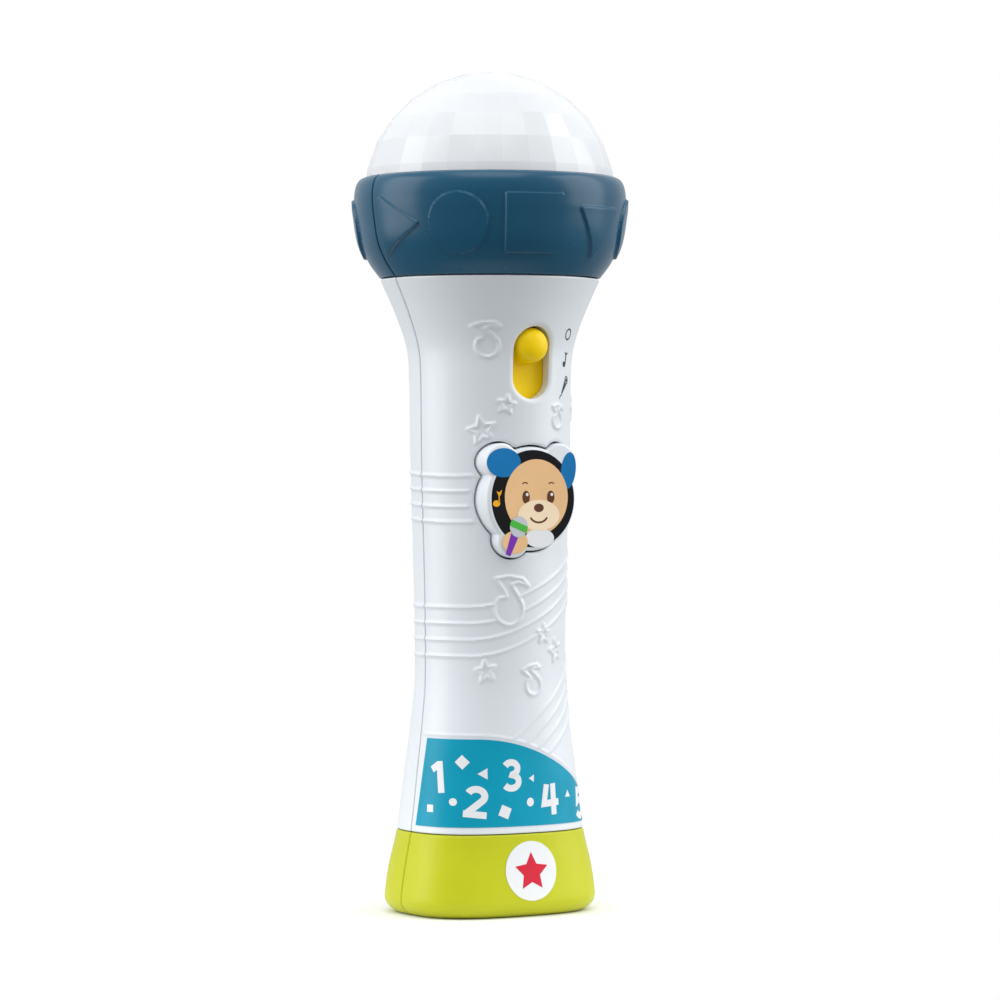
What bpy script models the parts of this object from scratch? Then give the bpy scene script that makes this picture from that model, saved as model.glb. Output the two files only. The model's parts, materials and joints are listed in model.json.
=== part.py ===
"""Toy singing microphone, built as the pieces that it comes apart into.

The microphone stands on its base: +Z is up, the front is -Y and the joint between the two halves of each
casing lies in the plane y = 0. Lengths here are in millimetres, and the helpers below turn them into metres.
Angles round the handle run from the front towards +X, in degrees.
"""

import math

import bmesh
import bpy
from mathutils import Matrix, Vector

MM = 0.001
GAP = 0.3
WALL = 2.2
AROUND = 40

# Handle and base: height, half-width at the side, half-depth at the front, corner power (2 is an ellipse).
OUTLINE = (
    (0.0, 27.6, 21.7, 2.8),
    (5.0, 27.4, 21.5, 2.8),
    (12.0, 26.4, 20.7, 2.8),
    (22.0, 24.5, 19.9, 2.55),
    (39.0, 22.4, 19.7, 2.3),
    (50.0, 21.1, 19.4, 2.15),
    (62.0, 20.1, 19.3, 2.03),
    (82.0, 20.2, 19.9, 2.0),
    (119.5, 21.2, 20.9, 2.0),
    (142.0, 21.5, 21.5, 2.0),
    (149.3, 22.2, 22.2, 2.0),
    (157.8, 25.0, 25.0, 2.0),
    (167.1, 29.1, 29.1, 2.0),
)
BASE_TOP = 21.7
BASE_FLOOR = 2.5
BASE_ROUND = 4.5
SHELL_LOW = 22.0
SHELL_HIGH = 167.1
SPIGOT_LOW = 17.5
SPIGOT_HIGH = 171.5
SPIGOT_INSET = 2.5
SPIGOT_INNER = 4.7

# Collar: radius and height down its outer side.
COLLAR_OUTER = (
    (33.4, 194.0),
    (34.6, 193.4),
    (35.5, 192.0),
    (36.0, 189.5),
    (36.0, 187.0),
    (35.8, 184.5),
    (34.4, 176.5),
    (32.0, 171.4),
    (29.1, 167.4),
)
COLLAR_INNER = (
    (26.9, 167.4),
    (26.9, 172.2),
    (31.8, 177.0),
    (33.0, 186.0),
    (33.0, 187.0),
    (34.6, 187.0),
    (34.6, 189.2),
    (33.8, 189.2),
)
PAD_LIFT = 0.7
PAD_HEIGHT = 180.5
PAD_TILT = 10.0
PAD_RADIUS = 8.2
# The raised shapes of one half: angle, number of corners (0 is round) and the way the first corner points.
PADS = ((-77.5, 3, 0.0), (-45.0, 0, 0.0), (-12.5, 4, 45.0), (22.0, 3, -90.0), (56.5, 0, 0.0))

DOME_CENTRE = 188.8
DOME_RADIUS = 33.4
DOME_WALL = 1.5
DOME_FACETS = 28
FLANGE_RADIUS = 34.2
FLANGE_LOW, FLANGE_HIGH = 187.3, 188.9

BUTTON_HEIGHT = 109.3
BUTTON_FACE = -21.0
BUTTON_PLATE = 1.8
BUTTON_SKIRT = 1.4
BUTTON_BACK = -9.5
BUTTON_CLEARANCE = 0.5
# The round lobes that make up the button's outline: across, up, radius.
BUTTON_LOBES = ((0.0, 0.0, 13.6), (-8.8, 9.6, 4.9), (8.8, 9.6, 4.9), (-5.3, -10.6, 4.8))

KNOB_HEIGHT = 149.3
KNOB_TRAVEL = 9.0
KNOB_RADIUS = 4.7
KNOB_TIP = -24.0
KNOB_PLATE_FRONT, KNOB_PLATE_BACK = -17.3, -15.8
KNOB_PLATE_HALF = (7.0, 14.5)
SLOT_HEIGHT = KNOB_HEIGHT - KNOB_TRAVEL / 2
SLOT_HALF_WIDTH = 5.5
SLOT_HALF_LENGTH = 9.5
CHIMNEY_WALL = 1.1

BOARD_BACK, BOARD_FRONT = -3.0, -4.6
BOARD_HALF_WIDTH = 12.3
BOARD_LOW, BOARD_HIGH = 99.5, 158.0
BOARD_SCREWS = ((-10.3, 127.5), (10.3, 153.0))

SPEAKER_HEIGHT = 145.0
SPEAKER_RADIUS = 14.0
SPEAKER_POST_REACH = 16.6
MIC = (-9.0, 160.0)

CELL_OFFSET = 7.6
CELL_DEPTH = 5.0
CELL_RADIUS = 7.25
CELL_LENGTH = 49.5
CELL_NUB = 1.0
TRAY_LOW, TRAY_HIGH = 31.0, 88.8
DOOR_HALF_WIDTH = 14.9
DOOR_LOW, DOOR_HIGH = 23.9, 88.2
DOOR_HINGE = (20.1, 88.5)
DOOR_SCREW_HEIGHT = 28.0

SHELL_SCREWS = ((0.0, 95.0), (-15.5, 122.0), (15.5, 122.0))
BASE_SCREWS = ((-15.0, 10.0), (15.0, 10.0))
COLLAR_SCREWS = ((-21.6, 177.0), (30.5, 177.0))

LED_BOARD_LOW, LED_BOARD_HIGH = 171.8, 173.4

STICKER_GAP = 0.3
STICKER_THICKNESS = 0.25
NUMBER_BAND = (-86.0, 84.0, 23.8)
BADGE_HEIGHT = 12.1
BADGE_RADIUS = 7.75

# ---------------------------------------------------------------- scene and materials


def clear_scene():
    for obj in list(bpy.data.objects):
        bpy.data.objects.remove(obj)


def new_collection(name):
    made = bpy.data.collections.new(name)
    bpy.context.scene.collection.children.link(made)
    return made


def material(name, colour, roughness=0.4, metallic=0.0, transmission=0.0):
    made = bpy.data.materials.new(name)
    made.use_nodes = True
    shader = made.node_tree.nodes["Principled BSDF"]
    shader.inputs["Base Color"].default_value = (*colour, 1.0)
    shader.inputs["Roughness"].default_value = roughness
    shader.inputs["Metallic"].default_value = metallic
    shader.inputs["Transmission Weight"].default_value = transmission
    made.diffuse_color = (*colour, 1.0)
    return made


clear_scene()
PART = new_collection("toy_microphone")
TOOLS = new_collection("toy_microphone_tools")

WHITE = material("white_shell", (0.76, 0.79, 0.81), 0.42)
NAVY = material("navy_collar", (0.008, 0.08, 0.15), 0.42)
GREEN = material("green_base", (0.52, 0.55, 0.03), 0.42)
CLEAR = material("clear_dome", (0.95, 0.97, 0.98), 0.12, transmission=0.8)
YELLOW = material("yellow_knob", (1.0, 0.6, 0.01), 0.35)
BLUE_FILM = material("blue_film", (0.0, 0.31, 0.48), 0.35)
BLACK_FILM = material("black_film", (0.015, 0.015, 0.018), 0.35)
WHITE_FILM = material("white_film", (0.85, 0.85, 0.85), 0.35)
REFLECTOR = material("reflector_white", (0.85, 0.86, 0.87), 0.3)
BOARD = material("board_green", (0.02, 0.16, 0.06), 0.45)
CHIP = material("chip_black", (0.02, 0.02, 0.022), 0.5)
RUBBER = material("grey_rubber", (0.25, 0.25, 0.26), 0.75)
STEEL = material("steel", (0.6, 0.6, 0.62), 0.3, metallic=1.0)
TIN = material("tinned_contact", (0.75, 0.74, 0.7), 0.28, metallic=1.0)
CONE = material("paper_cone", (0.05, 0.05, 0.055), 0.85)
TRAY_BLACK = material("tray_plastic", (0.05, 0.05, 0.055), 0.5)
CELL = material("cell_jacket", (0.05, 0.12, 0.3), 0.35)
RED_WIRE = material("red_insulation", (0.6, 0.02, 0.02), 0.45)
BLACK_WIRE = material("black_insulation", (0.02, 0.02, 0.02), 0.45)
LED_COLOURS = {"red": (0.8, 0.03, 0.03), "green": (0.03, 0.6, 0.08), "blue": (0.03, 0.1, 0.8)}

# ---------------------------------------------------------------- shape helpers


def shade_smooth(mesh, limit=35.0):
    mesh.shade_smooth()
    mesh.set_sharp_from_angle(angle=math.radians(limit))


def add_object(name, mesh, look=None):
    """Link a mesh as a sub-part when it has a material, or as a tool when it has none."""
    obj = bpy.data.objects.new(name, mesh)
    if look is None:
        TOOLS.objects.link(obj)
        obj.hide_render = True
        obj.display_type = "WIRE"
    else:
        PART.objects.link(obj)
        mesh.materials.append(look)
    return obj


def object_from(name, bm, look=None, smooth=True):
    mesh = bpy.data.meshes.new(name)
    bm.to_mesh(mesh)
    bm.free()
    if smooth:
        shade_smooth(mesh)
    return add_object(name, mesh, look)


def add_box(bm, low, high):
    low, high = Vector(low) * MM, Vector(high) * MM
    size = Matrix.Diagonal((*(high - low), 1.0))
    bmesh.ops.create_cube(bm, size=1.0, matrix=Matrix.Translation((low + high) / 2) @ size)


def add_rod(bm, start, end, radius, end_radius=None, segments=20):
    start, end = Vector(start) * MM, Vector(end) * MM
    along = end - start
    turn = Vector((0, 0, 1)).rotation_difference(along).to_matrix().to_4x4()
    bmesh.ops.create_cone(
        bm,
        cap_ends=True,
        segments=segments,
        radius1=radius * MM,
        radius2=(radius if end_radius is None else end_radius) * MM,
        depth=along.length,
        matrix=Matrix.Translation((start + end) / 2) @ turn,
    )


def solid(name, boxes=(), rods=(), look=None, segments=14):
    """Boxes given by two corners, and rods given by two ends and one or two radii, in one mesh."""
    bm = bmesh.new()
    for low, high in boxes:
        add_box(bm, low, high)
    for start, end, *radii in rods:
        add_rod(bm, start, end, *radii, segments=segments)
    return object_from(name, bm, look)


def combine(obj, other, operation, overlapping=False):
    step = obj.modifiers.new(f"{operation.lower()} {other.name}", "BOOLEAN")
    step.operation = operation
    step.object = other
    step.solver = "EXACT"
    step.use_self = overlapping
    return obj


def turned(name, profile, look=None, steps=AROUND, closed=False, at=(0, 0, 0), turn=(0, 0, 0)):
    """Turn a profile of (radius, height) points, listed down its outer side, round the local Z axis."""
    points = [(radius * MM, 0.0, height * MM) for radius, height in profile]
    edges = [(i, i + 1) for i in range(len(points) - 1)]
    if closed:
        edges.append((len(points) - 1, 0))
    mesh = bpy.data.meshes.new(name)
    mesh.from_pydata(points, edges, [])
    obj = add_object(name, mesh, look)
    obj.location = Vector(at) * MM
    obj.rotation_euler = [math.radians(a) for a in turn]
    screw = obj.modifiers.new("turn", "SCREW")
    screw.steps = steps
    screw.render_steps = steps
    screw.use_merge_vertices = True
    screw.merge_threshold = 0.00001
    screw.use_smooth_shade = True
    return obj


TOWARDS_REAR = (-90, 0, 0)
TOWARDS_FRONT = (90, 0, 0)


def prism(name, outline, middle, thickness, look=None, turn=TOWARDS_FRONT):
    """A flat outline of (across, up) points, standing in the XZ plane unless turned, with a thickness."""
    curve = bpy.data.curves.new(name, "CURVE")
    curve.dimensions = "2D"
    curve.fill_mode = "BOTH"
    curve.extrude = thickness / 2 * MM
    spline = curve.splines.new("POLY")
    spline.points.add(len(outline) - 1)
    for point, (across, up) in zip(spline.points, outline):
        point.co = (across * MM, up * MM, 0.0, 1.0)
    spline.use_cyclic_u = True
    flat = bpy.data.objects.new(name, curve)
    TOOLS.objects.link(flat)
    flat.location = Vector(middle) * MM
    flat.rotation_euler = [math.radians(a) for a in turn]
    bpy.context.view_layer.update()
    mesh = bpy.data.meshes.new_from_object(flat.evaluated_get(bpy.context.evaluated_depsgraph_get()))
    bm = bmesh.new()
    bm.from_mesh(mesh)
    bmesh.ops.remove_doubles(bm, verts=bm.verts, dist=0.000001)
    bmesh.ops.recalc_face_normals(bm, faces=bm.faces)
    place = flat.matrix_world.copy()
    bpy.data.objects.remove(flat)
    bpy.data.curves.remove(curve)
    bpy.data.meshes.remove(mesh)
    obj = object_from(name, bm, look)
    obj.matrix_world = place
    return obj


def set_origin(obj, point):
    """Move an object's origin to a point on its joint's axis and leave its shape where it is."""
    bpy.context.view_layer.update()
    point = Vector(point) * MM
    placed = obj.matrix_world.copy()
    obj.data.transform(Matrix.Translation(placed.inverted() @ point * -1))
    placed.translation = point
    obj.matrix_world = placed
    return obj


def smooth_between(rows, at):
    """Read a smooth curve through rows of (place, value, ...) at one place."""
    at = min(max(at, rows[0][0]), rows[-1][0])
    i = next(k for k in range(len(rows) - 1) if at <= rows[k + 1][0])
    low, high = rows[i], rows[i + 1]
    before, after = rows[max(i - 1, 0)], rows[min(i + 2, len(rows) - 1)]
    span = high[0] - low[0]
    t = (at - low[0]) / span
    values = []
    for k in range(1, len(low)):
        slope_in = (high[k] - before[k]) / (high[0] - before[0]) * span
        slope_out = (after[k] - low[k]) / (after[0] - low[0]) * span
        values.append(
            (2 * t**3 - 3 * t**2 + 1) * low[k]
            + (t**3 - 2 * t**2 + t) * slope_in
            + (3 * t**2 - 2 * t**3) * high[k]
            + (t**3 - t**2) * slope_out
        )
    return values


def reach(angle, height, inset=0.0):
    """How far the handle's surface is from its axis, at an angle in radians and a height."""
    side, front, power = smooth_between(OUTLINE, height)
    across = abs(math.sin(angle)) / (side - inset)
    along = abs(math.cos(angle)) / (front - inset)
    return (across**power + along**power) ** (-1 / power)


def surface_point(angle, height, inset=0.0, outline_at=None):
    radius = reach(angle, height if outline_at is None else outline_at, inset)
    return Vector((radius * math.sin(angle), -radius * math.cos(angle), height))


def front_depth(across, height, inset=0.0):
    """The y of the front surface at a distance across from the middle."""
    side, front, power = smooth_between(OUTLINE, height)
    return -(front - inset) * (1 - (abs(across) / (side - inset)) ** power) ** (1 / power)


def skin(bm, rows, wrap_rows=False, caps=False, wrap_around=True):
    """Join rows of points, each with the same count, into a surface."""
    made = [[bm.verts.new(point * MM) for point in row] for row in rows]
    count = len(made[0])
    for i in range(len(made) if wrap_rows else len(made) - 1):
        low, high = made[i], made[(i + 1) % len(made)]
        for j in range(count if wrap_around else count - 1):
            k = (j + 1) % count
            bm.faces.new((low[j], low[k], high[k], high[j]))
    if caps:
        bm.faces.new(reversed(made[0]))
        bm.faces.new(made[-1])
    bmesh.ops.recalc_face_normals(bm, faces=bm.faces)


def ring_row(height, inset, outline_at=None):
    """One row of points round the handle, with the plane y = 0 midway between two of them."""
    step = 2 * math.pi / AROUND
    return [surface_point((i + 0.5) * step, height, inset, outline_at) for i in range(AROUND)]


def steps_between(low, high, count):
    return [low + (high - low) * i / count for i in range(count + 1)]


def wire(name, points, look, radius=0.6, samples=10):
    """A wire through hand-placed points, on one smooth curve."""
    rows = [(float(i), *point) for i, point in enumerate(points)]
    curve = bpy.data.curves.new(name, "CURVE")
    curve.dimensions = "3D"
    curve.bevel_depth = radius * MM
    curve.bevel_resolution = 2
    curve.use_fill_caps = True
    spline = curve.splines.new("POLY")
    spline.points.add(samples)
    for i, point in enumerate(spline.points):
        point.co = (*(c * MM for c in smooth_between(rows, (len(rows) - 1) * i / samples)), 1.0)
    curve.materials.append(look)
    obj = bpy.data.objects.new(name, curve)
    PART.objects.link(obj)
    return obj


def screw_piece(name, at, turn, head_radius, head_height, shank_radius, length, look=STEEL):
    """A pan-head screw whose shank runs from the head along local -Z. The driver recess is a cross."""
    profile = (
        (0.0, head_height),
        (head_radius * 0.7, head_height),
        (head_radius, head_height * 0.5),
        (head_radius, 0.0),
        (shank_radius, 0.0),
        (shank_radius, 1.0 - length),
        (0.0, -length),
    )
    obj = turned(name, profile, look, steps=10, at=at, turn=turn)
    arm, width, depth = head_radius * 0.55, head_radius * 0.11, head_height * 0.6
    recess = solid(
        f"{name}_recess",
        boxes=(
            ((-arm, -width, head_height - depth), (arm, width, head_height + 1.0)),
            ((-width, -arm, head_height - depth), (width, arm, head_height + 1.0)),
        ),
    )
    recess.location = obj.location
    recess.rotation_euler = obj.rotation_euler
    return combine(obj, recess, "DIFFERENCE", overlapping=True)


# ---------------------------------------------------------------- shared tools

FAR = 60.0
REAR_HALF = solid("rear_half", boxes=(((-FAR, -GAP / 2, -10), (FAR, FAR, 240)),))
FRONT_HALF = solid("front_half", boxes=(((-FAR, -FAR, -10), (FAR, GAP / 2, 240)),))


def filled_loft(name, rows, look=None):
    bm = bmesh.new()
    skin(bm, rows, caps=True)
    return object_from(name, bm, look)


HANDLE_CORE = filled_loft(
    "handle_core",
    [ring_row(SPIGOT_LOW + 0.5, 3.4, SHELL_LOW)]
    + [ring_row(z, 1.1) for z in steps_between(SHELL_LOW + 1, SHELL_HIGH - 1, 9)]
    + [ring_row(SPIGOT_HIGH - 0.5, 3.4, SHELL_HIGH)],
)
BASE_CORE = filled_loft("base_core", [ring_row(z, 1.1) for z in steps_between(1.0, BASE_TOP - 1, 6)])


def button_reach(angle, grow=0.0):
    """How far the button's outline is from its middle: the furthest of its lobes along a ray."""
    along = Vector((math.cos(angle), math.sin(angle)))
    best = 0.0
    for across, up, radius in BUTTON_LOBES:
        centre = Vector((across, up))
        miss = centre.cross(along)
        if abs(miss) < radius + grow:
            best = max(best, centre.dot(along) + math.sqrt((radius + grow) ** 2 - miss**2))
    return best


def button_outline(grow=0.0, count=44):
    angles = [2 * math.pi * i / count for i in range(count)]
    return [
        (button_reach(a, grow) * math.cos(a), BUTTON_HEIGHT + button_reach(a, grow) * math.sin(a))
        for a in angles
    ]


def stadium(half_width, half_length, height, count=8):
    """An upright slot with round ends, as (across, up) points."""
    straight = half_length - half_width
    points = []
    for i in range(count + 1):
        angle = math.pi * i / count
        points.append((half_width * math.cos(angle), height + straight + half_width * math.sin(angle)))
    for i in range(count + 1):
        angle = math.pi + math.pi * i / count
        points.append((half_width * math.cos(angle), height - straight + half_width * math.sin(angle)))
    return points


def polygon(radius, corners, first=0.0):
    turn = math.radians(first)
    return [
        (
            radius * math.cos(turn + 2 * math.pi * i / corners),
            radius * math.sin(turn + 2 * math.pi * i / corners),
        )
        for i in range(corners)
    ]


# ---------------------------------------------------------------- handle


def handle_ring(name, look=None):
    """The whole tube of the handle, with a step at each end that fits in the base and in the collar."""
    outer = [ring_row(z, 0.0) for z in steps_between(SHELL_LOW, SHELL_HIGH, 14)]
    inner = [ring_row(z, WALL) for z in steps_between(161.0, 28.0, 5)]
    rows = (
        outer
        + [ring_row(z, SPIGOT_INSET, SHELL_HIGH) for z in (SHELL_HIGH, SPIGOT_HIGH)]
        + [ring_row(z, SPIGOT_INNER, SHELL_HIGH) for z in (SPIGOT_HIGH, 167.0)]
        + inner
        + [ring_row(z, SPIGOT_INNER, SHELL_LOW) for z in (24.5, SPIGOT_LOW)]
        + [ring_row(z, SPIGOT_INSET, SHELL_LOW) for z in (SPIGOT_LOW, SHELL_LOW)]
    )
    bm = bmesh.new()
    skin(bm, rows, wrap_rows=True)
    return object_from(name, bm, look)


def clipped(name, core, **shapes):
    """Bosses and ribs that end inside the casing's wall."""
    return combine(solid(name, **shapes), core, "INTERSECT")


def front_shell():
    shell = handle_ring("front_shell", WHITE)
    combine(shell, REAR_HALF, "DIFFERENCE")
    joint = -GAP / 2
    bosses = [((x, -30, z), (x, joint, z), 2.8) for x, z in SHELL_SCREWS]
    posts = [((x, -30, z), (x, BOARD_FRONT - GAP, z), 2.3) for x, z in BOARD_SCREWS]
    ribs = [((-8, -30, z), (8, -3.9, z + 1.5)) for z in (42.0, 75.0)]
    combine(shell, clipped("front_bosses", HANDLE_CORE, boxes=ribs, rods=bosses + posts), "UNION")
    rim = stadium(SLOT_HALF_WIDTH + CHIMNEY_WALL, SLOT_HALF_LENGTH + CHIMNEY_WALL, SLOT_HEIGHT)
    chimney_depth = 8.0
    middle = (0, KNOB_PLATE_FRONT - GAP - chimney_depth / 2, 0)
    chimney = prism("slot_chimney", rim, middle, chimney_depth)
    combine(chimney, HANDLE_CORE, "INTERSECT")
    combine(shell, chimney, "UNION")
    slot = prism("slot_opening", stadium(SLOT_HALF_WIDTH, SLOT_HALF_LENGTH, SLOT_HEIGHT), (0, -20, 0), 14.0)
    combine(shell, slot, "DIFFERENCE")
    opening = prism("button_opening", button_outline(BUTTON_CLEARANCE), (0, -17.5, 0), 20.0)
    combine(shell, opening, "DIFFERENCE")
    pilots = [((x, -9.5, z), (x, 1.0, z), 1.7) for x, z in SHELL_SCREWS]
    pilots += [((x, -13.0, z), (x, -4.0, z), 1.3) for x, z in BOARD_SCREWS]
    combine(shell, solid("front_pilot_holes", rods=pilots, segments=10), "DIFFERENCE")
    return shell


def door_window(name, clearance):
    low = (-DOOR_HALF_WIDTH - clearance, 6.0, DOOR_LOW - clearance)
    high = (DOOR_HALF_WIDTH + clearance, 30.0, DOOR_HIGH + clearance)
    return solid(name, boxes=((low, high),))


def speaker_posts():
    return [(0.0, SPEAKER_HEIGHT + side * SPEAKER_POST_REACH) for side in (-1, 1)]


def rear_shell():
    shell = handle_ring("rear_shell", WHITE)
    combine(shell, FRONT_HALF, "DIFFERENCE")
    bosses = [((x, GAP / 2, z), (x, 30, z), 4.0) for x, z in SHELL_SCREWS[:1]]
    bosses += [((x, GAP / 2, z), (x, 30, z), 3.3) for x, z in SHELL_SCREWS[1:]]
    posts = [((x, 10.9, z), (x, 30, z), 2.2) for x, z in speaker_posts()]
    combine(shell, clipped("rear_bosses", HANDLE_CORE, rods=bosses + posts), "UNION")
    combine(shell, door_window("door_opening", GAP), "DIFFERENCE")
    holes = [((x, -1.0, z), (x, 8.0, z), 1.7) for x, z in SHELL_SCREWS]
    holes += [((x, 5.0, z), (x, 30.0, z), 2.7) for x, z in SHELL_SCREWS]
    holes.append(((MIC[0], 15, MIC[1]), (MIC[0], 30, MIC[1]), 1.0))
    combine(shell, solid("rear_screw_holes", rods=holes, segments=10), "DIFFERENCE", overlapping=True)
    pilots = [((x, 10.0, z), (x, 17.8, z), 1.5) for x, z in speaker_posts()]
    combine(shell, solid("speaker_pilot_holes", rods=pilots, segments=12), "DIFFERENCE")
    for across in (-8.0, -4.0, 0.0, 4.0, 8.0):
        length = 10.5 - 0.3 * abs(across)
        slit = stadium(1.0, length, SPEAKER_HEIGHT, count=4)
        outline = [(across + x, z) for x, z in slit]
        combine(shell, prism(f"grille_slit_{across:+.0f}", outline, (0, 20, 0), 14.0), "DIFFERENCE")
    return shell


# ---------------------------------------------------------------- base


def base_cup(name, look):
    rounding = [math.radians(a) for a in (90, 60, 30, 0)]
    outer = [ring_row(z, 0.0) for z in steps_between(BASE_TOP, 7.5, 2)]
    bottom = [
        ring_row(BASE_ROUND * (1 - math.sin(a)), BASE_ROUND * (1 - math.cos(a)))
        for a in reversed(rounding)
    ]
    inner = [
        ring_row(BASE_FLOOR, 6.0),
        ring_row(BASE_FLOOR + 1.0, 3.2),
        ring_row(9.0, WALL),
        ring_row(BASE_TOP, WALL),
    ]
    bm = bmesh.new()
    skin(bm, inner + outer + bottom, caps=True)
    return object_from(name, bm, look)


def base_front():
    cup = combine(base_cup("base_front", GREEN), REAR_HALF, "DIFFERENCE")
    bosses = [((x, -30, z), (x, -GAP / 2, z), 3.2) for x, z in BASE_SCREWS]
    combine(cup, clipped("base_front_bosses", BASE_CORE, rods=bosses), "UNION")
    pilots = [((x, -10.0, z), (x, 1.0, z), 1.7) for x, z in BASE_SCREWS]
    return combine(cup, solid("base_pilot_holes", rods=pilots, segments=10), "DIFFERENCE")


def base_rear():
    cup = combine(base_cup("base_rear", GREEN), FRONT_HALF, "DIFFERENCE")
    bosses = [((x, GAP / 2, z), (x, 30, z), 3.9) for x, z in BASE_SCREWS]
    combine(cup, clipped("base_rear_bosses", BASE_CORE, rods=bosses), "UNION")
    holes = [((x, -1.0, z), (x, 8.0, z), 1.7) for x, z in BASE_SCREWS]
    holes += [((x, 5.0, z), (x, 30.0, z), 2.7) for x, z in BASE_SCREWS]
    tool = solid("base_screw_holes", rods=holes, segments=12)
    return combine(cup, tool, "DIFFERENCE", overlapping=True)


# ---------------------------------------------------------------- collar and dome


def pad_outline(corners, first):
    if corners == 0:
        return polygon(PAD_RADIUS, 20)
    if corners == 4:
        return polygon(PAD_RADIUS * 1.3, 4, first)
    return polygon(PAD_RADIUS * 1.22, 3, first)


def collar_pads(turn):
    """The raised shapes of one half, as thick as the collar's skin and following its surface."""
    lifted = [(radius + PAD_LIFT, height) for radius, height in COLLAR_OUTER[3:8]]
    profile = lifted + [(31.0, 173.6), (33.9, 184.0), (35.1, 186.5), (35.1, COLLAR_OUTER[3][1])]
    pads = []
    for i, (angle, corners, first) in enumerate(PADS):
        pad_skin = turned(f"pad_skin_{turn}_{i}", profile, steps=AROUND, closed=True)
        around = math.radians(angle + turn)
        middle = (35.0 * math.sin(around), -35.0 * math.cos(around), PAD_HEIGHT)
        stamp = prism(
            f"pad_stamp_{turn}_{i}",
            pad_outline(corners, first),
            middle,
            10.0,
            turn=(90 + PAD_TILT, 0, angle + turn),
        )
        pads.append(combine(pad_skin, stamp, "INTERSECT"))
    return pads


def collar_half(name, other_half, turn):
    collar = turned(name, COLLAR_OUTER + COLLAR_INNER, NAVY, closed=True)
    combine(collar, other_half, "DIFFERENCE")
    for pad in collar_pads(turn):
        combine(collar, pad, "UNION")
    return collar


COLLAR_CORE = turned(
    "collar_core",
    ((0, 186.0), (34.3, 186.0), (33.2, 176.5), (31.0, 172.4), (0, 172.4)),
)


def collar_front():
    collar = collar_half("collar_front", REAR_HALF, 0)
    bosses = [((x, -20, z), (x, -GAP / 2, z), 2.6) for x, z in COLLAR_SCREWS]
    combine(collar, clipped("collar_front_bosses", COLLAR_CORE, rods=bosses), "UNION")
    pilots = [((x, -10.0, z), (x, 1.0, z), 1.5) for x, z in COLLAR_SCREWS]
    return combine(collar, solid("collar_pilot_holes", rods=pilots, segments=10), "DIFFERENCE")


def collar_rear():
    collar = collar_half("collar_rear", FRONT_HALF, 180)
    bosses = [((x, GAP / 2, z), (x, 40, z), 3.2) for x, z in COLLAR_SCREWS]
    combine(collar, clipped("collar_rear_bosses", COLLAR_CORE, rods=bosses), "UNION")
    holes = [((x, -1.0, z), (x, 8.0, z), 1.5) for x, z in COLLAR_SCREWS]
    holes += [((x, 5.0, z), (x, 40.0, z), 2.3) for x, z in COLLAR_SCREWS]
    tool = solid("collar_screw_holes", rods=holes, segments=12)
    return combine(collar, tool, "DIFFERENCE", overlapping=True)


def dome_lens():
    """A clear dome whose facets are as wide round it as they are high."""
    bands = DOME_FACETS // 4
    pitch = math.pi / 2 / bands
    outer = [
        (DOME_RADIUS * math.sin(pitch * i), DOME_CENTRE + DOME_RADIUS * math.cos(pitch * i))
        for i in range(bands)
    ]
    within = DOME_RADIUS - DOME_WALL
    inner = [
        (within * math.sin(pitch * i), DOME_CENTRE + within * math.cos(pitch * i))
        for i in reversed(range(bands))
    ]
    flange = [
        (DOME_RADIUS, FLANGE_HIGH),
        (FLANGE_RADIUS, FLANGE_HIGH),
        (FLANGE_RADIUS, FLANGE_LOW),
        (within, FLANGE_LOW),
    ]
    return turned("dome_lens", outer + flange + inner, CLEAR, steps=DOME_FACETS)


def light_reflector():
    profile = (
        (32.0, 186.7),
        (32.0, 185.2),
        (10.0, 177.8),
        (10.0, LED_BOARD_HIGH + GAP),
        (8.8, LED_BOARD_HIGH + GAP),
        (8.8, 178.9),
    )
    return turned("light_reflector", profile, REFLECTOR, steps=30, closed=True)


def led_board():
    rods = (((0, 0, LED_BOARD_LOW), (0, 0, LED_BOARD_HIGH), 26.3),)
    return solid("led_board", rods=rods, look=BOARD, segments=32)


def leds():
    for i, (name, colour) in enumerate(LED_COLOURS.items()):
        around = 2 * math.pi * i / len(LED_COLOURS)
        low = LED_BOARD_HIGH + GAP
        profile = (
            (0.0, low + 8.0),
            (1.3, low + 7.6),
            (2.2, low + 6.6),
            (2.5, low + 5.4),
            (2.5, low + 1.0),
            (2.9, low + 1.0),
            (2.9, low),
            (0.0, low),
        )
        look = material(f"led_{name}", colour, 0.15, transmission=0.5)
        at = (4.6 * math.sin(around), -4.6 * math.cos(around), 0)
        turned(f"led_{name}", profile, look, steps=12, at=at)


# ---------------------------------------------------------------- controls


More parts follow.
